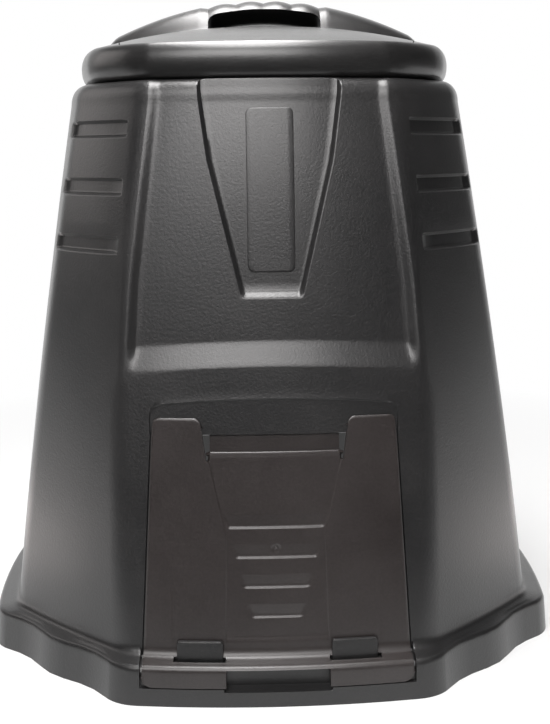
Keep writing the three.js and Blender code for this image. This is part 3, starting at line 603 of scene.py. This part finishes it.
def moulded_plastic(name, base, worn, roughness, grain):
    """Moulded black plastic: a spark-etched grain that breaks up the highlights, cloudy patches
    of less shine, and thin pale scuffs, under the soft sheen that handling leaves."""
    material = bpy.data.materials.new(name)
    tree = emptied(material)
    place = add(tree, "ShaderNodeTexCoord").outputs["Object"]
    # Cloudy patches about 150 mm across, from the recycled granulate's uneven mix
    cloud = add(tree, "ShaderNodeTexNoise", [
        ("Vector", place), ("Scale", 7.0), ("Detail", 4.0), ("Roughness", 0.6)])
    patch = add(tree, "ShaderNodeMapRange", [
        ("Value", cloud), ("From Min", 0.35), ("From Max", 0.7)])
    # Fine mottle of about 3 mm
    mottle = add(tree, "ShaderNodeTexNoise", [("Vector", place), ("Scale", 330.0), ("Detail", 3.0)])
    spots = add(tree, "ShaderNodeMapRange", [
        ("Value", mottle), ("From Min", 0.35), ("From Max", 0.65), ("To Min", 0.0),
        ("To Max", 0.35)])
    # Grain of the etched mould, about 1.2 mm, as coarse as it needs to be to show
    etched = add(tree, "ShaderNodeTexNoise", [("Vector", place), ("Scale", 800.0), ("Detail", 2.0)])
    # Scuffs: stretched noise, 60 mm long and 2 mm wide
    along = add(tree, "ShaderNodeMapping", [
        ("Vector", place), ("Scale", (16.0, 16.0, 420.0)), ("Rotation", (0.25, 0.1, 0.0))])
    scuff = add(tree, "ShaderNodeTexNoise", [("Vector", along), ("Scale", 1.0), ("Detail", 4.0)])
    thin = add(tree, "ShaderNodeMapRange", [
        ("Value", scuff), ("From Min", 0.62), ("From Max", 0.74)])
    dust = add(tree, "ShaderNodeMath", [
        (0, patch), (1, 0.45), (2, spots)], operation="MULTIPLY_ADD")
    worn_share = add(tree, "ShaderNodeMath", [
        (0, thin), (1, 0.18), (2, dust)], operation="MULTIPLY_ADD", use_clamp=True)
    colour = add(tree, "ShaderNodeMix", [
        ("Factor", worn_share), (6, srgb(base)), (7, srgb(worn))], data_type="RGBA")
    dull = add(tree, "ShaderNodeMapRange", [
        ("Value", worn_share), ("To Min", roughness - 0.05), ("To Max", roughness + 0.12)])
    relief = add(tree, "ShaderNodeMath", [
        (0, mottle), (1, 2.0), (2, etched)], operation="MULTIPLY_ADD")
    bump = add(tree, "ShaderNodeBump", [
        ("Height", relief), ("Strength", grain), ("Distance", 0.0004)])
    shader = add(tree, "ShaderNodeBsdfPrincipled", [
        ("Base Color", colour.outputs[2]), ("Roughness", dull), ("Normal", bump), ("IOR", 1.51),
        ("Coat Weight", 0.6), ("Coat Roughness", 0.3)])
    add(tree, "ShaderNodeOutputMaterial", [("Surface", shader)])
    return material


# Half-matt and clearly grained, so that each flat shows one broad soft light
shell_plastic = moulded_plastic("recycled polyethylene, etched mould", "#161617", "#282727",
                                0.40, 0.5)
# The push at each point already says where a groove ends, so its width plays no part here
shell_piece = pressed(shell_sheets.mesh("body shell"), "body_shell_skin", shell_plastic, {
    "Top Sill": GROOVE_TOP, "Spacing": GROOVE_SPACING, "Last": GROOVE_COUNT - 1,
    "Height": GROOVE_HEIGHT, "Low Slope": GROOVE_SLOPE, "High Slope": GROOVE_SLOPE,
    "Depth": GROOVE_DEPTH, "Top Half Width": 10, "Foot Half Width": 10, "Flare": 0,
    "Side Slope": 1})
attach(shell_piece, "shell")
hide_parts("body_shell")

# Hatch door: a sheet of brown-black polypropylene moulded to the bowed front. Its foot folds out
# over the flange and down, two ears lap the wall above, and a tab between them runs up behind it.

DOOR_SHEET = 4.6
# How far the door's face stands in front of the wall
PROUD = 2.5
EAR_FOOT_Z, EAR_CORNER = 276.0, 8.0
EAR_HEIGHT = DOOR_TOP_Z - EAR_FOOT_Z
FOLD_Z, FOOT_CORNER = 36.0, 13.0
TAB_HALF, TAB_SHEET, TAB_BEHIND = 75.0, 3.5, 5.2
BIB_Z, BIB_HALF = [22.0, 50.0, 72.0, 188.0, 276.0], [60.0, 60.0, 59.5, 56.5, 76.0]
LOUVRE_TOP, LOUVRE_SPACING, LOUVRE_COUNT, LOUVRE_HEIGHT = 197.5, 34.6, 4, 17.0
NUB_Z, NUB_RING, NUB_RADIUS, NUB_RISE = 175, 1.5, 2.4, 1.6

# For each row: height, distance from the middle, bow, and how far the face lies behind that
door_path = [(z, flange_side(z), FLANGE_BOW, 0.0) for z in (22, 22.6, 24, 28, 32, 36)]
door_path += [(*flange_turn(degrees), FLANGE_BOW, 0.0) for degrees in (0, 15, 30, 45, 60, 75, 90)]
door_path += [(47.5, 348.5, 14.3, 0.0), (48.2, 346.0, 14.6, 0.0), (48.9, 341.5, 15.2, -0.6),
              (49.6, 337.0, 15.8, -1.4), (50.6, 334.2, 16.0, -2.2),
              (52.4, 331.8, 16.0, -PROUD), (55.0, 330.4, 16.0, -PROUD)]
on_field = [58, 61, 65, 69, 71.5, 72.5, 76, 80, 84, 88, *range(167, 184, 2), 225, 232, 240, 248,
            256, 262, 267, 270.5, 272.5, 273.6, 274.6, 275.4, EAR_FOOT_Z]
louvre = [-1.2, -0.5, 0, 0.5, 1.0, 1.6, 2.4, 4, 6, 8.5, 11, 13.5, 15.5, 16.5, 17.2, 18, 21, 25]
on_field += [LOUVRE_TOP - i * LOUVRE_SPACING + up for i in range(LOUVRE_COUNT) for up in louvre]
ear_shares = np.array([0.06, 0.14, 0.24, 0.36, 0.5, 0.64, 0.78, 0.87, 0.93, 0.97, 0.99, 1.0])
wall_z = [*thinned(on_field, 0.45), *mix(EAR_FOOT_Z, DOOR_TOP_Z, ear_shares)]
door_path += [(z, wall_half(z), wall_bow(z), -PROUD) for z in wall_z]
door_path = np.array(door_path)
door_z = door_path[:, 0]
door_row_z, door_row_half, door_row_bow, door_row_inset = (door_path[:, [i]] for i in range(4))
PANEL_ROWS = len(door_path) - len(ear_shares)
ears = door_row_z > EAR_FOOT_Z + 0.01
ear_rows = ears[:, 0]

# Lines that the columns follow: the tab's side or the bib's, the ear's inner side, the lug
# window's outer side, and the door's edge
bib = np.interp(door_z, BIB_Z, BIB_HALF)
edge_1 = np.where(ear_rows, TAB_HALF, bib)
edge_2 = np.where(ear_rows, np.interp(door_z, [276, 325], [79.5, 85.0]), bib + 1.4)
edge_2 = np.where((door_z > 270) & ~ear_rows, mix(bib + 1.4, 79.5, (door_z - 270) / 6), edge_2)
edge_3 = np.interp(door_z, [22, 69, 276, 325], [121, 121, 118, 114])
edge_4 = door_half(door_z)
EDGE_1_AT, EDGE_2_AT, EDGE_3_AT = 34, 38, 50
dx = columns_between([(edge_1, EDGE_1_AT), (edge_2, EDGE_2_AT - EDGE_1_AT),
                      (edge_3, EDGE_3_AT - EDGE_2_AT), (edge_4, 12)])
DOOR_MIDDLE = dx.shape[1] // 2
dz = door_row_z + 0 * dx
door_away = np.abs(dx)
from_edge = edge_4[:, None] - door_away

# The foot's lower corners and the ears' upper corners are rounded
lift = rounded(from_edge, FOOT_CORNER, FOOT_CORNER)
dz = np.where(dz < FOLD_Z, FOLD_Z - (FOLD_Z - dz) * (1 - lift / 15), dz)
trim = rounded(from_edge, EAR_CORNER, EAR_CORNER)
trim = trim + rounded(door_away - edge_2[:, None], EAR_CORNER, EAR_CORNER)
ear_top = EAR_FOOT_Z + EAR_HEIGHT * (1 - trim / EAR_HEIGHT)
in_ear = ears & (door_away > edge_2[:, None] - 0.01)
dz = np.where(in_ear, EAR_FOOT_Z + (dz - EAR_FOOT_Z) * (1 - trim / EAR_HEIGHT), dz)
dy = door_row_inset - door_row_half
dy = dy - door_row_bow * (1 - (dx / wall_edge(np.maximum(dz, 56.0))) ** 2)
on_wall = ears | (door_row_z > 57)
dy = np.where(on_wall, front_face(dx, dz) - PROUD, dy)

# The lip and the tab behind the wall, in the columns between the ears
TAB_PATH = [(278.5, -1.5), (281.5, -1.5), (283.2, -1.2), (284.0, -1.2), (284.2, 1.5),
            (284.2, 4.4), *((height, TAB_BEHIND) for height in (285, 289, 298, 308, 318, 328))]
TAB_BACK_FROM = 6
TAB = slice(DOOR_MIDDLE - EDGE_1_AT, DOOR_MIDDLE + EDGE_1_AT + 1)
for row, (height, inset) in enumerate(TAB_PATH, PANEL_ROWS):
    dz[row, TAB] = height
    dy[row, TAB] = front_face(dx[row, TAB], height) + inset

# Shallow bib, a ringed nub, softly turned outer edges, and a fine raised line down each leg
bib_depth = soft((bib[:, None] + 1.2 - door_away) / 1.4) * ~ears * soft((dz - 70) / 2)
from_nub = np.hypot(dx, dz - NUB_Z)
nub = NUB_RING * (1 - soft((from_nub - 3.4) / NUB_RADIUS))
nub = nub - NUB_RISE * (1 - soft(from_nub / NUB_RADIUS))
turn_in = np.maximum(rounded(from_edge, 2.0, 1.2), rounded(ear_top - dz, 2.2, 1.4) * ears)
leg = 0.7 * np.exp(-((door_away - 120.5) / 1.1) ** 2)
leg = leg * soft((160 - dz) / 40) * soft((dz - 66) / 4)
dy = dy + bib_depth + nub + turn_in * on_wall + leg
door_skin = np.stack([dx, dy, dz], axis=-1)
door_back = door_skin - DOOR_SHEET * sheet_normals(door_skin, False)
door_back[0, :, 2] = door_skin[0, :, 2]
tab_rows = slice(PANEL_ROWS + TAB_BACK_FROM, None)
door_back[tab_rows, TAB] = door_skin[tab_rows, TAB] + [0, TAB_SHEET, 0]


def both_sides(near, far):
    """Columns between two lines, left and right of the middle."""
    return [*range(DOOR_MIDDLE - far, DOOR_MIDDLE - near),
            *range(DOOR_MIDDLE + near, DOOR_MIDDLE + far)]


# Gaps beside the tab, the windows that the lugs come through, and the finger notch in the foot
door_keep = np.ones((len(door_z) - 1, dx.shape[1] - 1), bool)
door_keep[PANEL_ROWS - 1:, both_sides(EDGE_1_AT, EDGE_2_AT)] = False
window_rows = np.nonzero((door_z[:-1] > 47.9) & (door_z[:-1] < 50.5))[0]
door_keep[np.ix_(window_rows, both_sides(EDGE_1_AT, EDGE_3_AT))] = False
notch_rows = np.nonzero((door_z[1:] + door_z[:-1]) / 2 < 42.9)[0]
door_keep[np.ix_(notch_rows, both_sides(0, EDGE_1_AT))] = False

door_sheets = Sheets()
louvre_push = np.zeros_like(door_skin)
louvre_push[:, :, 1] = door_row_z < 240
door_outer = door_sheets.add(door_skin, louvre_push, door_away)
door_inner = door_sheets.add(door_back, louvre_push, door_away)
door_sheets.quads(door_outer, door_keep)
door_sheets.quads(door_inner, door_keep, turned=True)
door_sheets.rim(door_outer, door_inner, door_keep)

# Browner and a little duller than the shell, with a finer grain
door_plastic = moulded_plastic("black-brown polypropylene, satin mould", "#211b1a", "#342e2d",
                               0.42, 0.25)
door_piece = pressed(door_sheets.mesh("hatch door"), "hatch_door_skin", door_plastic, {
    "Top Sill": LOUVRE_TOP, "Spacing": LOUVRE_SPACING, "Last": LOUVRE_COUNT - 1,
    "Height": LOUVRE_HEIGHT, "Low Slope": 3.8, "High Slope": LOUVRE_HEIGHT, "Depth": 2.3,
    "Top Half Width": 55, "Foot Half Width": 29, "Flare": 6, "Side Slope": 1.8})
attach(door_piece, "door")
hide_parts("hatch_door")

# Lid: a lift-off lid of the same black polyethylene, with a fat rolled rim, a shallow crown, and
# an arched ridge. Its middle is a bar with finger bumps that the hand reaches under to lift it.

LID_FOOT_Z, RIM_TOP_Z, RIM_ROUND, LID_SHEET = 709.8, 752.8, 14.0, 3.5
# The plan of the crown inside the rolled rim
PLAN_HALF, PLAN_EDGE, PLAN_BOW = 217.0 - RIM_ROUND, 150.0 - RIM_ROUND * SLANT, 24.0
PLAN_REACH = PLAN_HALF + PLAN_BOW
# Half depth of the plan at the middle of a corner face
CORNER_AT = (PLAN_HALF + PLAN_EDGE) / 2 + 4 * math.sqrt(0.5) - 0.12
PLAN_BLEND = 7.0
CROWN, RIDGE, RIDGE_ROOT, RIDGE_HALF = 34.0, 69.7, 748.8, 64.0
# Power of the ridge's section: 2 is round, and more is fuller at the shoulders
SECTION = 2.45
# The ridge's ends sink into the crown over this length and blend into it over this height
RIDGE_END, RIDGE_END_LENGTH, RIDGE_BLEND = 226.0, 34.0, 5.0
GRIP_HALF, GRIP_ROOF_Z, GRIP_ROOF_FALL, GRIP_CORNER, GRIP_CORNER_FALL = 73.0, 807.0, 8.0, 11.0, 9.0
BUMP_COUNT, BUMP_HEIGHT = 4, 3.0
BAR_DROP, BAR_DROP_LENGTH = 13.5, 44.0
# Columns are straight as far as this from the middle, and the outer ones follow the outline
STRAIGHT = 100.0


def outline(x):
    """Half depth of the plan at a distance from its middle, up to the middle of a corner face."""
    x = np.abs(x)
    flat = PLAN_HALF + PLAN_BOW * (1 - (x / PLAN_EDGE) ** 2)
    swell = 0.0
    for _ in range(8):
        along = (x - PLAN_EDGE - swell) / (PLAN_HALF - PLAN_EDGE)
        swell = CORNER_SWELL * math.sqrt(0.5) * np.clip(along, 0, 1) * (1 - np.clip(along, 0, 1))
    slant = PLAN_HALF - (PLAN_HALF - PLAN_EDGE) * along + swell
    near = np.clip(0.5 + 0.5 * (slant - flat) / PLAN_BLEND, 0, 1)
    return mix(slant, flat, near) - PLAN_BLEND * near * (1 - near)


def fit(a, reach):
    """Keeps a column straight near the middle and draws the outer ones in to the outline."""
    far = (np.abs(a) - STRAIGHT) * (reach - STRAIGHT) / (PLAN_REACH - STRAIGHT)
    return np.where(np.abs(a) <= STRAIGHT, a, np.sign(a) * (STRAIGHT + far))


def ridge_top(x):
    arch = RIM_TOP_Z + RIDGE * (1 - (x / (PLAN_REACH + RIM_ROUND)) ** 2)
    bump = 1 - np.abs(np.sin(np.pi * BUMP_COUNT * (x / GRIP_HALF + 1) / 2))
    beside = np.abs(x) - GRIP_HALF
    return arch - BUMP_HEIGHT * np.where(beside > 0, np.clip(1 - beside / 10, 0, 1), bump)


def ridge_half(x):
    return RIDGE_HALF * mix(1.0, 0.6, np.minimum(1.0, (x / 204.0) ** 2))


def grip_roof(x):
    near = np.clip((np.abs(x) - GRIP_HALF + GRIP_CORNER) / GRIP_CORNER, 0, 1)
    corner = GRIP_CORNER_FALL * (1 - np.sqrt(np.clip(1 - near ** 2, 0, 1)))
    return GRIP_ROOF_Z - GRIP_ROOF_FALL * (x / GRIP_HALF) ** 2 - corner


def bar_drop(y):
    """The bar's underside comes down from its front edge, so that the fingers curl round it."""
    return BAR_DROP * soft((y + BAR_DROP_LENGTH) / BAR_DROP_LENGTH)


# Rows of the ridge's section that lie below the roof of the grip
LOW_TURNS = 10


def ridge_section(x, rise_at_edge):
    """Reach and rise of the ridge's section rows, one of them at the roof of the grip."""
    at_edge = np.arcsin(rise_at_edge ** (SECTION / 2))[..., None]
    low = at_edge * np.linspace(0, 1, LOW_TURNS + 1)[:-1]
    high = at_edge + (np.pi / 2 - at_edge) * np.linspace(0, 1, 13)
    turns = np.concatenate([low, high], axis=-1)
    reach = np.clip(np.cos(turns), 0, 1) ** (2 / SECTION) * ridge_half(x)[..., None]
    return reach, np.clip(np.sin(turns), 0, 1) ** (2 / SECTION)


# Columns: close together on both sides of the grip's end and at the ridge's ends
beside_grip = [72.9, 73.15, 73.6, 74.4, 75.6, 77.5, 80, 83, 87, 92, *np.linspace(98, 200, 27),
               203, 205, 207, 209, 211, 213, 216, 219.5, 223.5, PLAN_REACH]
grip_x = np.linspace(-72.4, 72.4, 61)
column_x = np.array([*(-x for x in beside_grip[::-1]), *grip_x, *beside_grip])
# Rows of the front half, from the middle outwards: the ridge's, then the crown's
crown_rows = np.array([0.0, 0.02, 0.045, 0.08, *np.linspace(0.13, 0.93, 17), 0.965, 0.985, 1.0])
# The crown's first row lies this far outside the ridge's foot
BESIDE_RIDGE = 1.5
edge_rise = float((grip_roof(GRIP_HALF) - RIDGE_ROOT) / (ridge_top(GRIP_HALF) - RIDGE_ROOT))
end_reach, _ = ridge_section(np.array([PLAN_REACH]), np.array([edge_rise]))
end_half = ridge_half(PLAN_REACH)
end_crown = end_half + BESIDE_RIDGE + (CORNER_AT - end_half - BESIDE_RIDGE) * crown_rows
half_x = fit(column_x[:, None], outline(np.concatenate([end_reach[0][::-1], end_crown]))[None, :])
half_ridge = ridge_half(half_x)
reach, rise = ridge_section(half_x[:, 0], np.full(len(column_x), edge_rise))
RIDGE_ROWS = reach.shape[1]
on_ridge = half_ridge[:, :RIDGE_ROWS] * (reach[:, ::-1] / ridge_half(half_x[:, 0])[:, None])
foot = half_ridge[:, RIDGE_ROWS:] + BESIDE_RIDGE
edge_y = outline(fit(column_x, CORNER_AT))[:, None]
half_y = np.hstack([on_ridge, foot + (edge_y - foot) * crown_rows])
half_rise = np.hstack([rise[:, ::-1], 0 * foot])
# The back half mirrors the front half
full_x = np.hstack([half_x[:, ::-1], half_x[:, 1:]])
full_y = np.hstack([-half_y[:, ::-1], half_y[:, 1:]])
full_rise = np.hstack([half_rise[:, ::-1], half_rise[:, 1:]])
is_ridge = np.abs(np.arange(full_x.shape[1]) - (half_x.shape[1] - 1)) < RIDGE_ROWS


def around(grid):
    """What lies along the four edges of a grid, as one ring."""
    return np.concatenate([grid[0, :-1], grid[:-1, -1], grid[-1, :0:-1], grid[:0:-1, 0]])


# The crown falls from its middle to the rim by each point's share of the way out
ring_x, ring_y = around(full_x.T), around(full_y.T)
turn = np.arctan2(ring_y, ring_x)
order = np.argsort(turn)
edge_distance = np.interp(np.arctan2(full_y, full_x), turn[order],
                          np.hypot(ring_x, ring_y)[order], period=2 * np.pi)
share = np.hypot(full_x, full_y) / edge_distance
crown_z = RIM_TOP_Z + CROWN * (1 - np.clip(share, 0, 1) ** 2)
ridge_z = RIDGE_ROOT + (ridge_top(full_x) - RIDGE_ROOT) * full_rise
ridge_z = mix(crown_z - 6, ridge_z, soft((RIDGE_END - np.abs(full_x)) / RIDGE_END_LENGTH))
blend = np.clip(0.5 + 0.5 * (ridge_z - crown_z) / RIDGE_BLEND, 0, 1)
raised = mix(crown_z, ridge_z, blend) + RIDGE_BLEND * blend * (1 - blend)
deck_z = np.where(is_ridge & (np.abs(full_x) >= GRIP_HALF), raised, crown_z)
deck = np.stack([full_x, full_y, deck_z], axis=-1).transpose(1, 0, 2)
# At the plan's four corners the grid is laid out evenly between its edges, so no face folds over
PATCH = 7
u = np.linspace(0, 1, PATCH)[:, None, None]
v = u.transpose(1, 0, 2)
for rows_on in (1, -1):
    for columns_on in (1, -1):
        patch = deck[::rows_on, ::columns_on][:PATCH, :PATCH]
        corners = mix(mix(patch[0, 0], patch[-1, 0], u), mix(patch[0, -1], patch[-1, -1], u), v)
        patch[:] = mix(patch[[0]], patch[[-1]], u) + mix(patch[:, [0]], patch[:, [-1]], v) - corners

lid_sheets = Sheets()
deck_numbers = lid_sheets.add(deck)
lid_sheets.quads(deck_numbers)
under_numbers = lid_sheets.add(deck - LID_SHEET * sheet_normals(deck, False))
lid_sheets.quads(under_numbers, turned=True)

# The rolled rim, and its inner side that drops over the collar
ring = around(deck)
out = ring_normals(ring)
for _ in range(3):
    out = (np.roll(out, 1, axis=0) + 2 * out + np.roll(out, -1, axis=0)) / 4
out /= np.linalg.norm(out, axis=1, keepdims=True)
rim_middle_z, rim_half = (RIM_TOP_Z + LID_FOOT_Z) / 2, (RIM_TOP_Z - LID_FOOT_Z) / 2
rim_steps = []
for degrees in np.linspace(84, -90, 27):
    a = math.radians(degrees)
    # Below its middle the roll is fuller than a circle
    power = 1.0 if degrees > 0 else 2 / 2.4
    rise = math.copysign(abs(math.sin(a)) ** power, a)
    rim_steps.append((RIM_ROUND * abs(math.cos(a)) ** power, rim_middle_z + rim_half * rise))
rim_steps += [(-4, 709.8), (-6, 710.6), (-6, 722), (-6, 731), (-4.5, 740), (-3.5, 746)]
flat_ring = ring * [1, 1, 0]
rim = np.stack([flat_ring + out * step + [0, 0, z] for step, z in rim_steps])
rim_numbers = lid_sheets.add(rim)
rim_rows = np.vstack([around(deck_numbers)[None], rim_numbers, around(under_numbers)[None]])
lid_sheets.quads(rim_rows, closed=True, turned=True)

# The bar over the grip: the ridge's own top and sides, and the underside for the fingers. Its
# ends reach a little way into the ridge.
bar_x = np.array([-73.15, -72.9, *grip_x, 72.9, 73.15])
roof = grip_roof(bar_x)[:, None]
bar_reach, bar_rise = ridge_section(
    bar_x, (roof[:, 0] + 1.6 - RIDGE_ROOT) / (ridge_top(bar_x) - RIDGE_ROOT))
bar_reach, bar_rise = bar_reach[:, LOW_TURNS:], bar_rise[:, LOW_TURNS:]
bar_z = RIDGE_ROOT + (ridge_top(bar_x) - RIDGE_ROOT)[:, None] * bar_rise
over_y = np.hstack([-bar_reach, bar_reach[:, -2::-1]])
over_z = np.hstack([bar_z, bar_z[:, -2::-1]])
# The back lower edge hangs below the front one
over_z[:, -1] -= 7.0
under_shares = [0.975, 0.93, 0.8, 0.6, 0.4, 0.2, 0, -0.2, -0.4, -0.6, -0.8, -0.93, -0.975]
under_y = bar_reach[:, :1] * np.array(under_shares)
under_z = roof + np.array([1.0, 0.15, *[0] * 9, 0.15, 1.0]) - bar_drop(under_y)
bar_y, bar_z = np.hstack([over_y, under_y]), np.hstack([over_z, under_z])
bar_numbers = lid_sheets.add(np.stack([bar_x[:, None] + 0 * bar_y, bar_y, bar_z], axis=-1))
lid_sheets.quads(bar_numbers, closed=True, turned=True)
lid_sheets.caps += [bar_numbers[0].tolist(), bar_numbers[-1, ::-1].tolist()]

# Blacker than the shell: painted shade, the same polyethylene darkened to offset the stronger
# overhead light on the lid. Shinier, with hardly any grain, so that the rim shows a clear light
lid_plastic_painted_darker = moulded_plastic("recycled polyethylene, smooth mould, painted darker", "#121212", "#201f1f",
                              0.34, 0.25)
lid_piece = finished(lid_sheets.mesh("lid"), "lid_skin", lid_plastic_painted_darker)
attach(lid_piece, "lid")
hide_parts("lid")

# Studio: a pale floor that runs out to a white surround, soft lights overhead, in front and far to
# the left, a pale card on the floor at each side, and the camera a little above the lid.

FLOOR_HALF = 6
corners = [(x * FLOOR_HALF, y * FLOOR_HALF, 0) for x, y in ((-1, -1), (1, -1), (1, 1), (-1, 1))]
floor_mesh = bpy.data.meshes.new("floor")
floor_mesh.from_pydata(corners, [], [(0, 1, 2, 3)])
floor = placed("floor", floor_mesh)
paper = bpy.data.materials.new("matt white paper")
tree = emptied(paper)
matt = add(tree, "ShaderNodeBsdfPrincipled", [
    ("Base Color", srgb("#fbfbfb")), ("Roughness", 0.9), ("Specular IOR Level", 0.0)])
rays = add(tree, "ShaderNodeLightPath")
place = add(tree, "ShaderNodeTexCoord").outputs["Object"]
# Near the bin the camera sees the paper with its shadows, and farther out plain white
distance = add(tree, "ShaderNodeVectorMath", [(0, place)], operation="LENGTH")
fade = add(tree, "ShaderNodeMapRange", [
    ("Value", distance.outputs["Value"]), ("From Min", 0.45), ("From Max", 1.5), ("To Min", 0.45),
    ("To Max", 1.0)])
# Mirrored in the plastic it is white, except near the camera, so that the flange stays dark
depth_on_floor = add(tree, "ShaderNodeSeparateXYZ", [(0, place)]).outputs["Y"]
mirrored = add(tree, "ShaderNodeMapRange", [
    ("Value", depth_on_floor), ("From Min", -0.78), ("From Max", -0.52), ("To Min", 0.1),
    ("To Max", 1.0)])
glow = add(tree, "ShaderNodeMix", [(0, rays.outputs["Is Glossy Ray"]), (2, 1.0), (3, mirrored)])
lit = add(tree, "ShaderNodeEmission", [("Color", (1, 1, 1, 1)), ("Strength", glow)])
looked_at = add(tree, "ShaderNodeMath", [
    (0, rays.outputs["Is Camera Ray"]), (1, fade)], operation="MULTIPLY")
seen = add(tree, "ShaderNodeMath", [
    (0, looked_at), (1, rays.outputs["Is Glossy Ray"])], operation="MAXIMUM")
paper_shader = add(tree, "ShaderNodeMixShader", [(0, seen), (1, matt), (2, lit)])
add(tree, "ShaderNodeOutputMaterial", [("Surface", paper_shader)])
floor_mesh.materials.append(paper)

world = bpy.data.worlds.new("white surround")
bpy.context.scene.world = world
tree = emptied(world)
rays = add(tree, "ShaderNodeLightPath")
# White to look at, dim as a light, and mirrored only from behind the bin, along its edges
toward = add(tree, "ShaderNodeTexCoord").outputs["Generated"]
behind = add(tree, "ShaderNodeSeparateXYZ", [(0, toward)]).outputs["Y"]
sweep = add(tree, "ShaderNodeMapRange", [
    ("Value", behind), ("From Min", 0.45), ("From Max", 0.93), ("To Min", 0.05), ("To Max", 1.0)],
    interpolation_type="SMOOTHSTEP")
fill = add(tree, "ShaderNodeMix", [(0, rays.outputs["Is Glossy Ray"]), (2, 0.16), (3, sweep)])
shown = add(tree, "ShaderNodeMath", [
    (0, rays.outputs["Is Camera Ray"]), (1, rays.outputs["Is Transmission Ray"])],
    operation="MAXIMUM")
strength = add(tree, "ShaderNodeMix", [(0, shown), (2, fill), (3, 1.0)])
sky = add(tree, "ShaderNodeBackground", [("Color", (1, 1, 1, 1)), ("Strength", strength)])
add(tree, "ShaderNodeOutputWorld", [("Surface", sky)])


def soft_light(name, place, target, width, height, watts, colour):
    lamp = bpy.data.lights.new(name, "AREA")
    lamp.shape, lamp.size, lamp.size_y = "RECTANGLE", width, height
    lamp.energy, lamp.color = watts, colour
    made = placed(name, lamp)
    made.location = place
    made.rotation_mode = "QUATERNION"
    made.rotation_quaternion = (Vector(target) - Vector(place)).to_track_quat("-Z", "Y")


soft_light("overhead softbox", (-0.1, -0.2, 1.85), (0, -0.2, 0.6), 1.5, 0.6, 42,
           (1.0, 0.985, 0.98))
soft_light("front softbox", (-0.3, -1.8, 1.6), (0, -0.3, 0.6), 1.5, 0.9, 30,
           (1.0, 0.98, 0.975))
soft_light("left softbox", (-1.7, 0.3, 1.3), (0, 0, 0.65), 1.0, 1.0, 4.5, (1.0, 0.95, 0.93))
soft_light("left card", (-0.88, 0.1, 0.012), (-0.88, 0.1, 1.0), 0.5, 0.7, 1.7,
           (1.0, 0.9, 0.87))
soft_light("right card", (0.88, 0.1, 0.012), (0.88, 0.1, 1.0), 0.5, 0.7, 1.2, (1.0, 0.9, 0.87))

# The camera, fitted to the photograph: where it stands, its turns, and its lens in picture rows
CAMERA_AT = (-0.0375, -1.5866, 0.627)
YAW, PITCH, ROLL = math.radians(1.75), math.radians(10.51), math.radians(-0.6)
FOCAL_ROWS, PICTURE_ROWS, SENSOR = 1140.0, 724.0, 36.0
lens = bpy.data.cameras.new("camera")
lens.sensor_width, lens.lens = SENSOR, FOCAL_ROWS / PICTURE_ROWS * SENSOR
camera = placed("camera", lens)
looking = Vector((math.sin(YAW) * math.cos(PITCH), math.cos(YAW) * math.cos(PITCH),
                  -math.sin(PITCH)))
level = Vector((math.cos(YAW), -math.sin(YAW), 0))
right = level * math.cos(ROLL) + level.cross(looking) * math.sin(ROLL)
axes = Matrix((right, right.cross(looking), -looking)).transposed()
camera.matrix_world = Matrix.Translation(CAMERA_AT) @ axes.to_4x4()
bpy.context.scene.camera = camera
bpy.context.scene.view_settings.view_transform = "Standard"
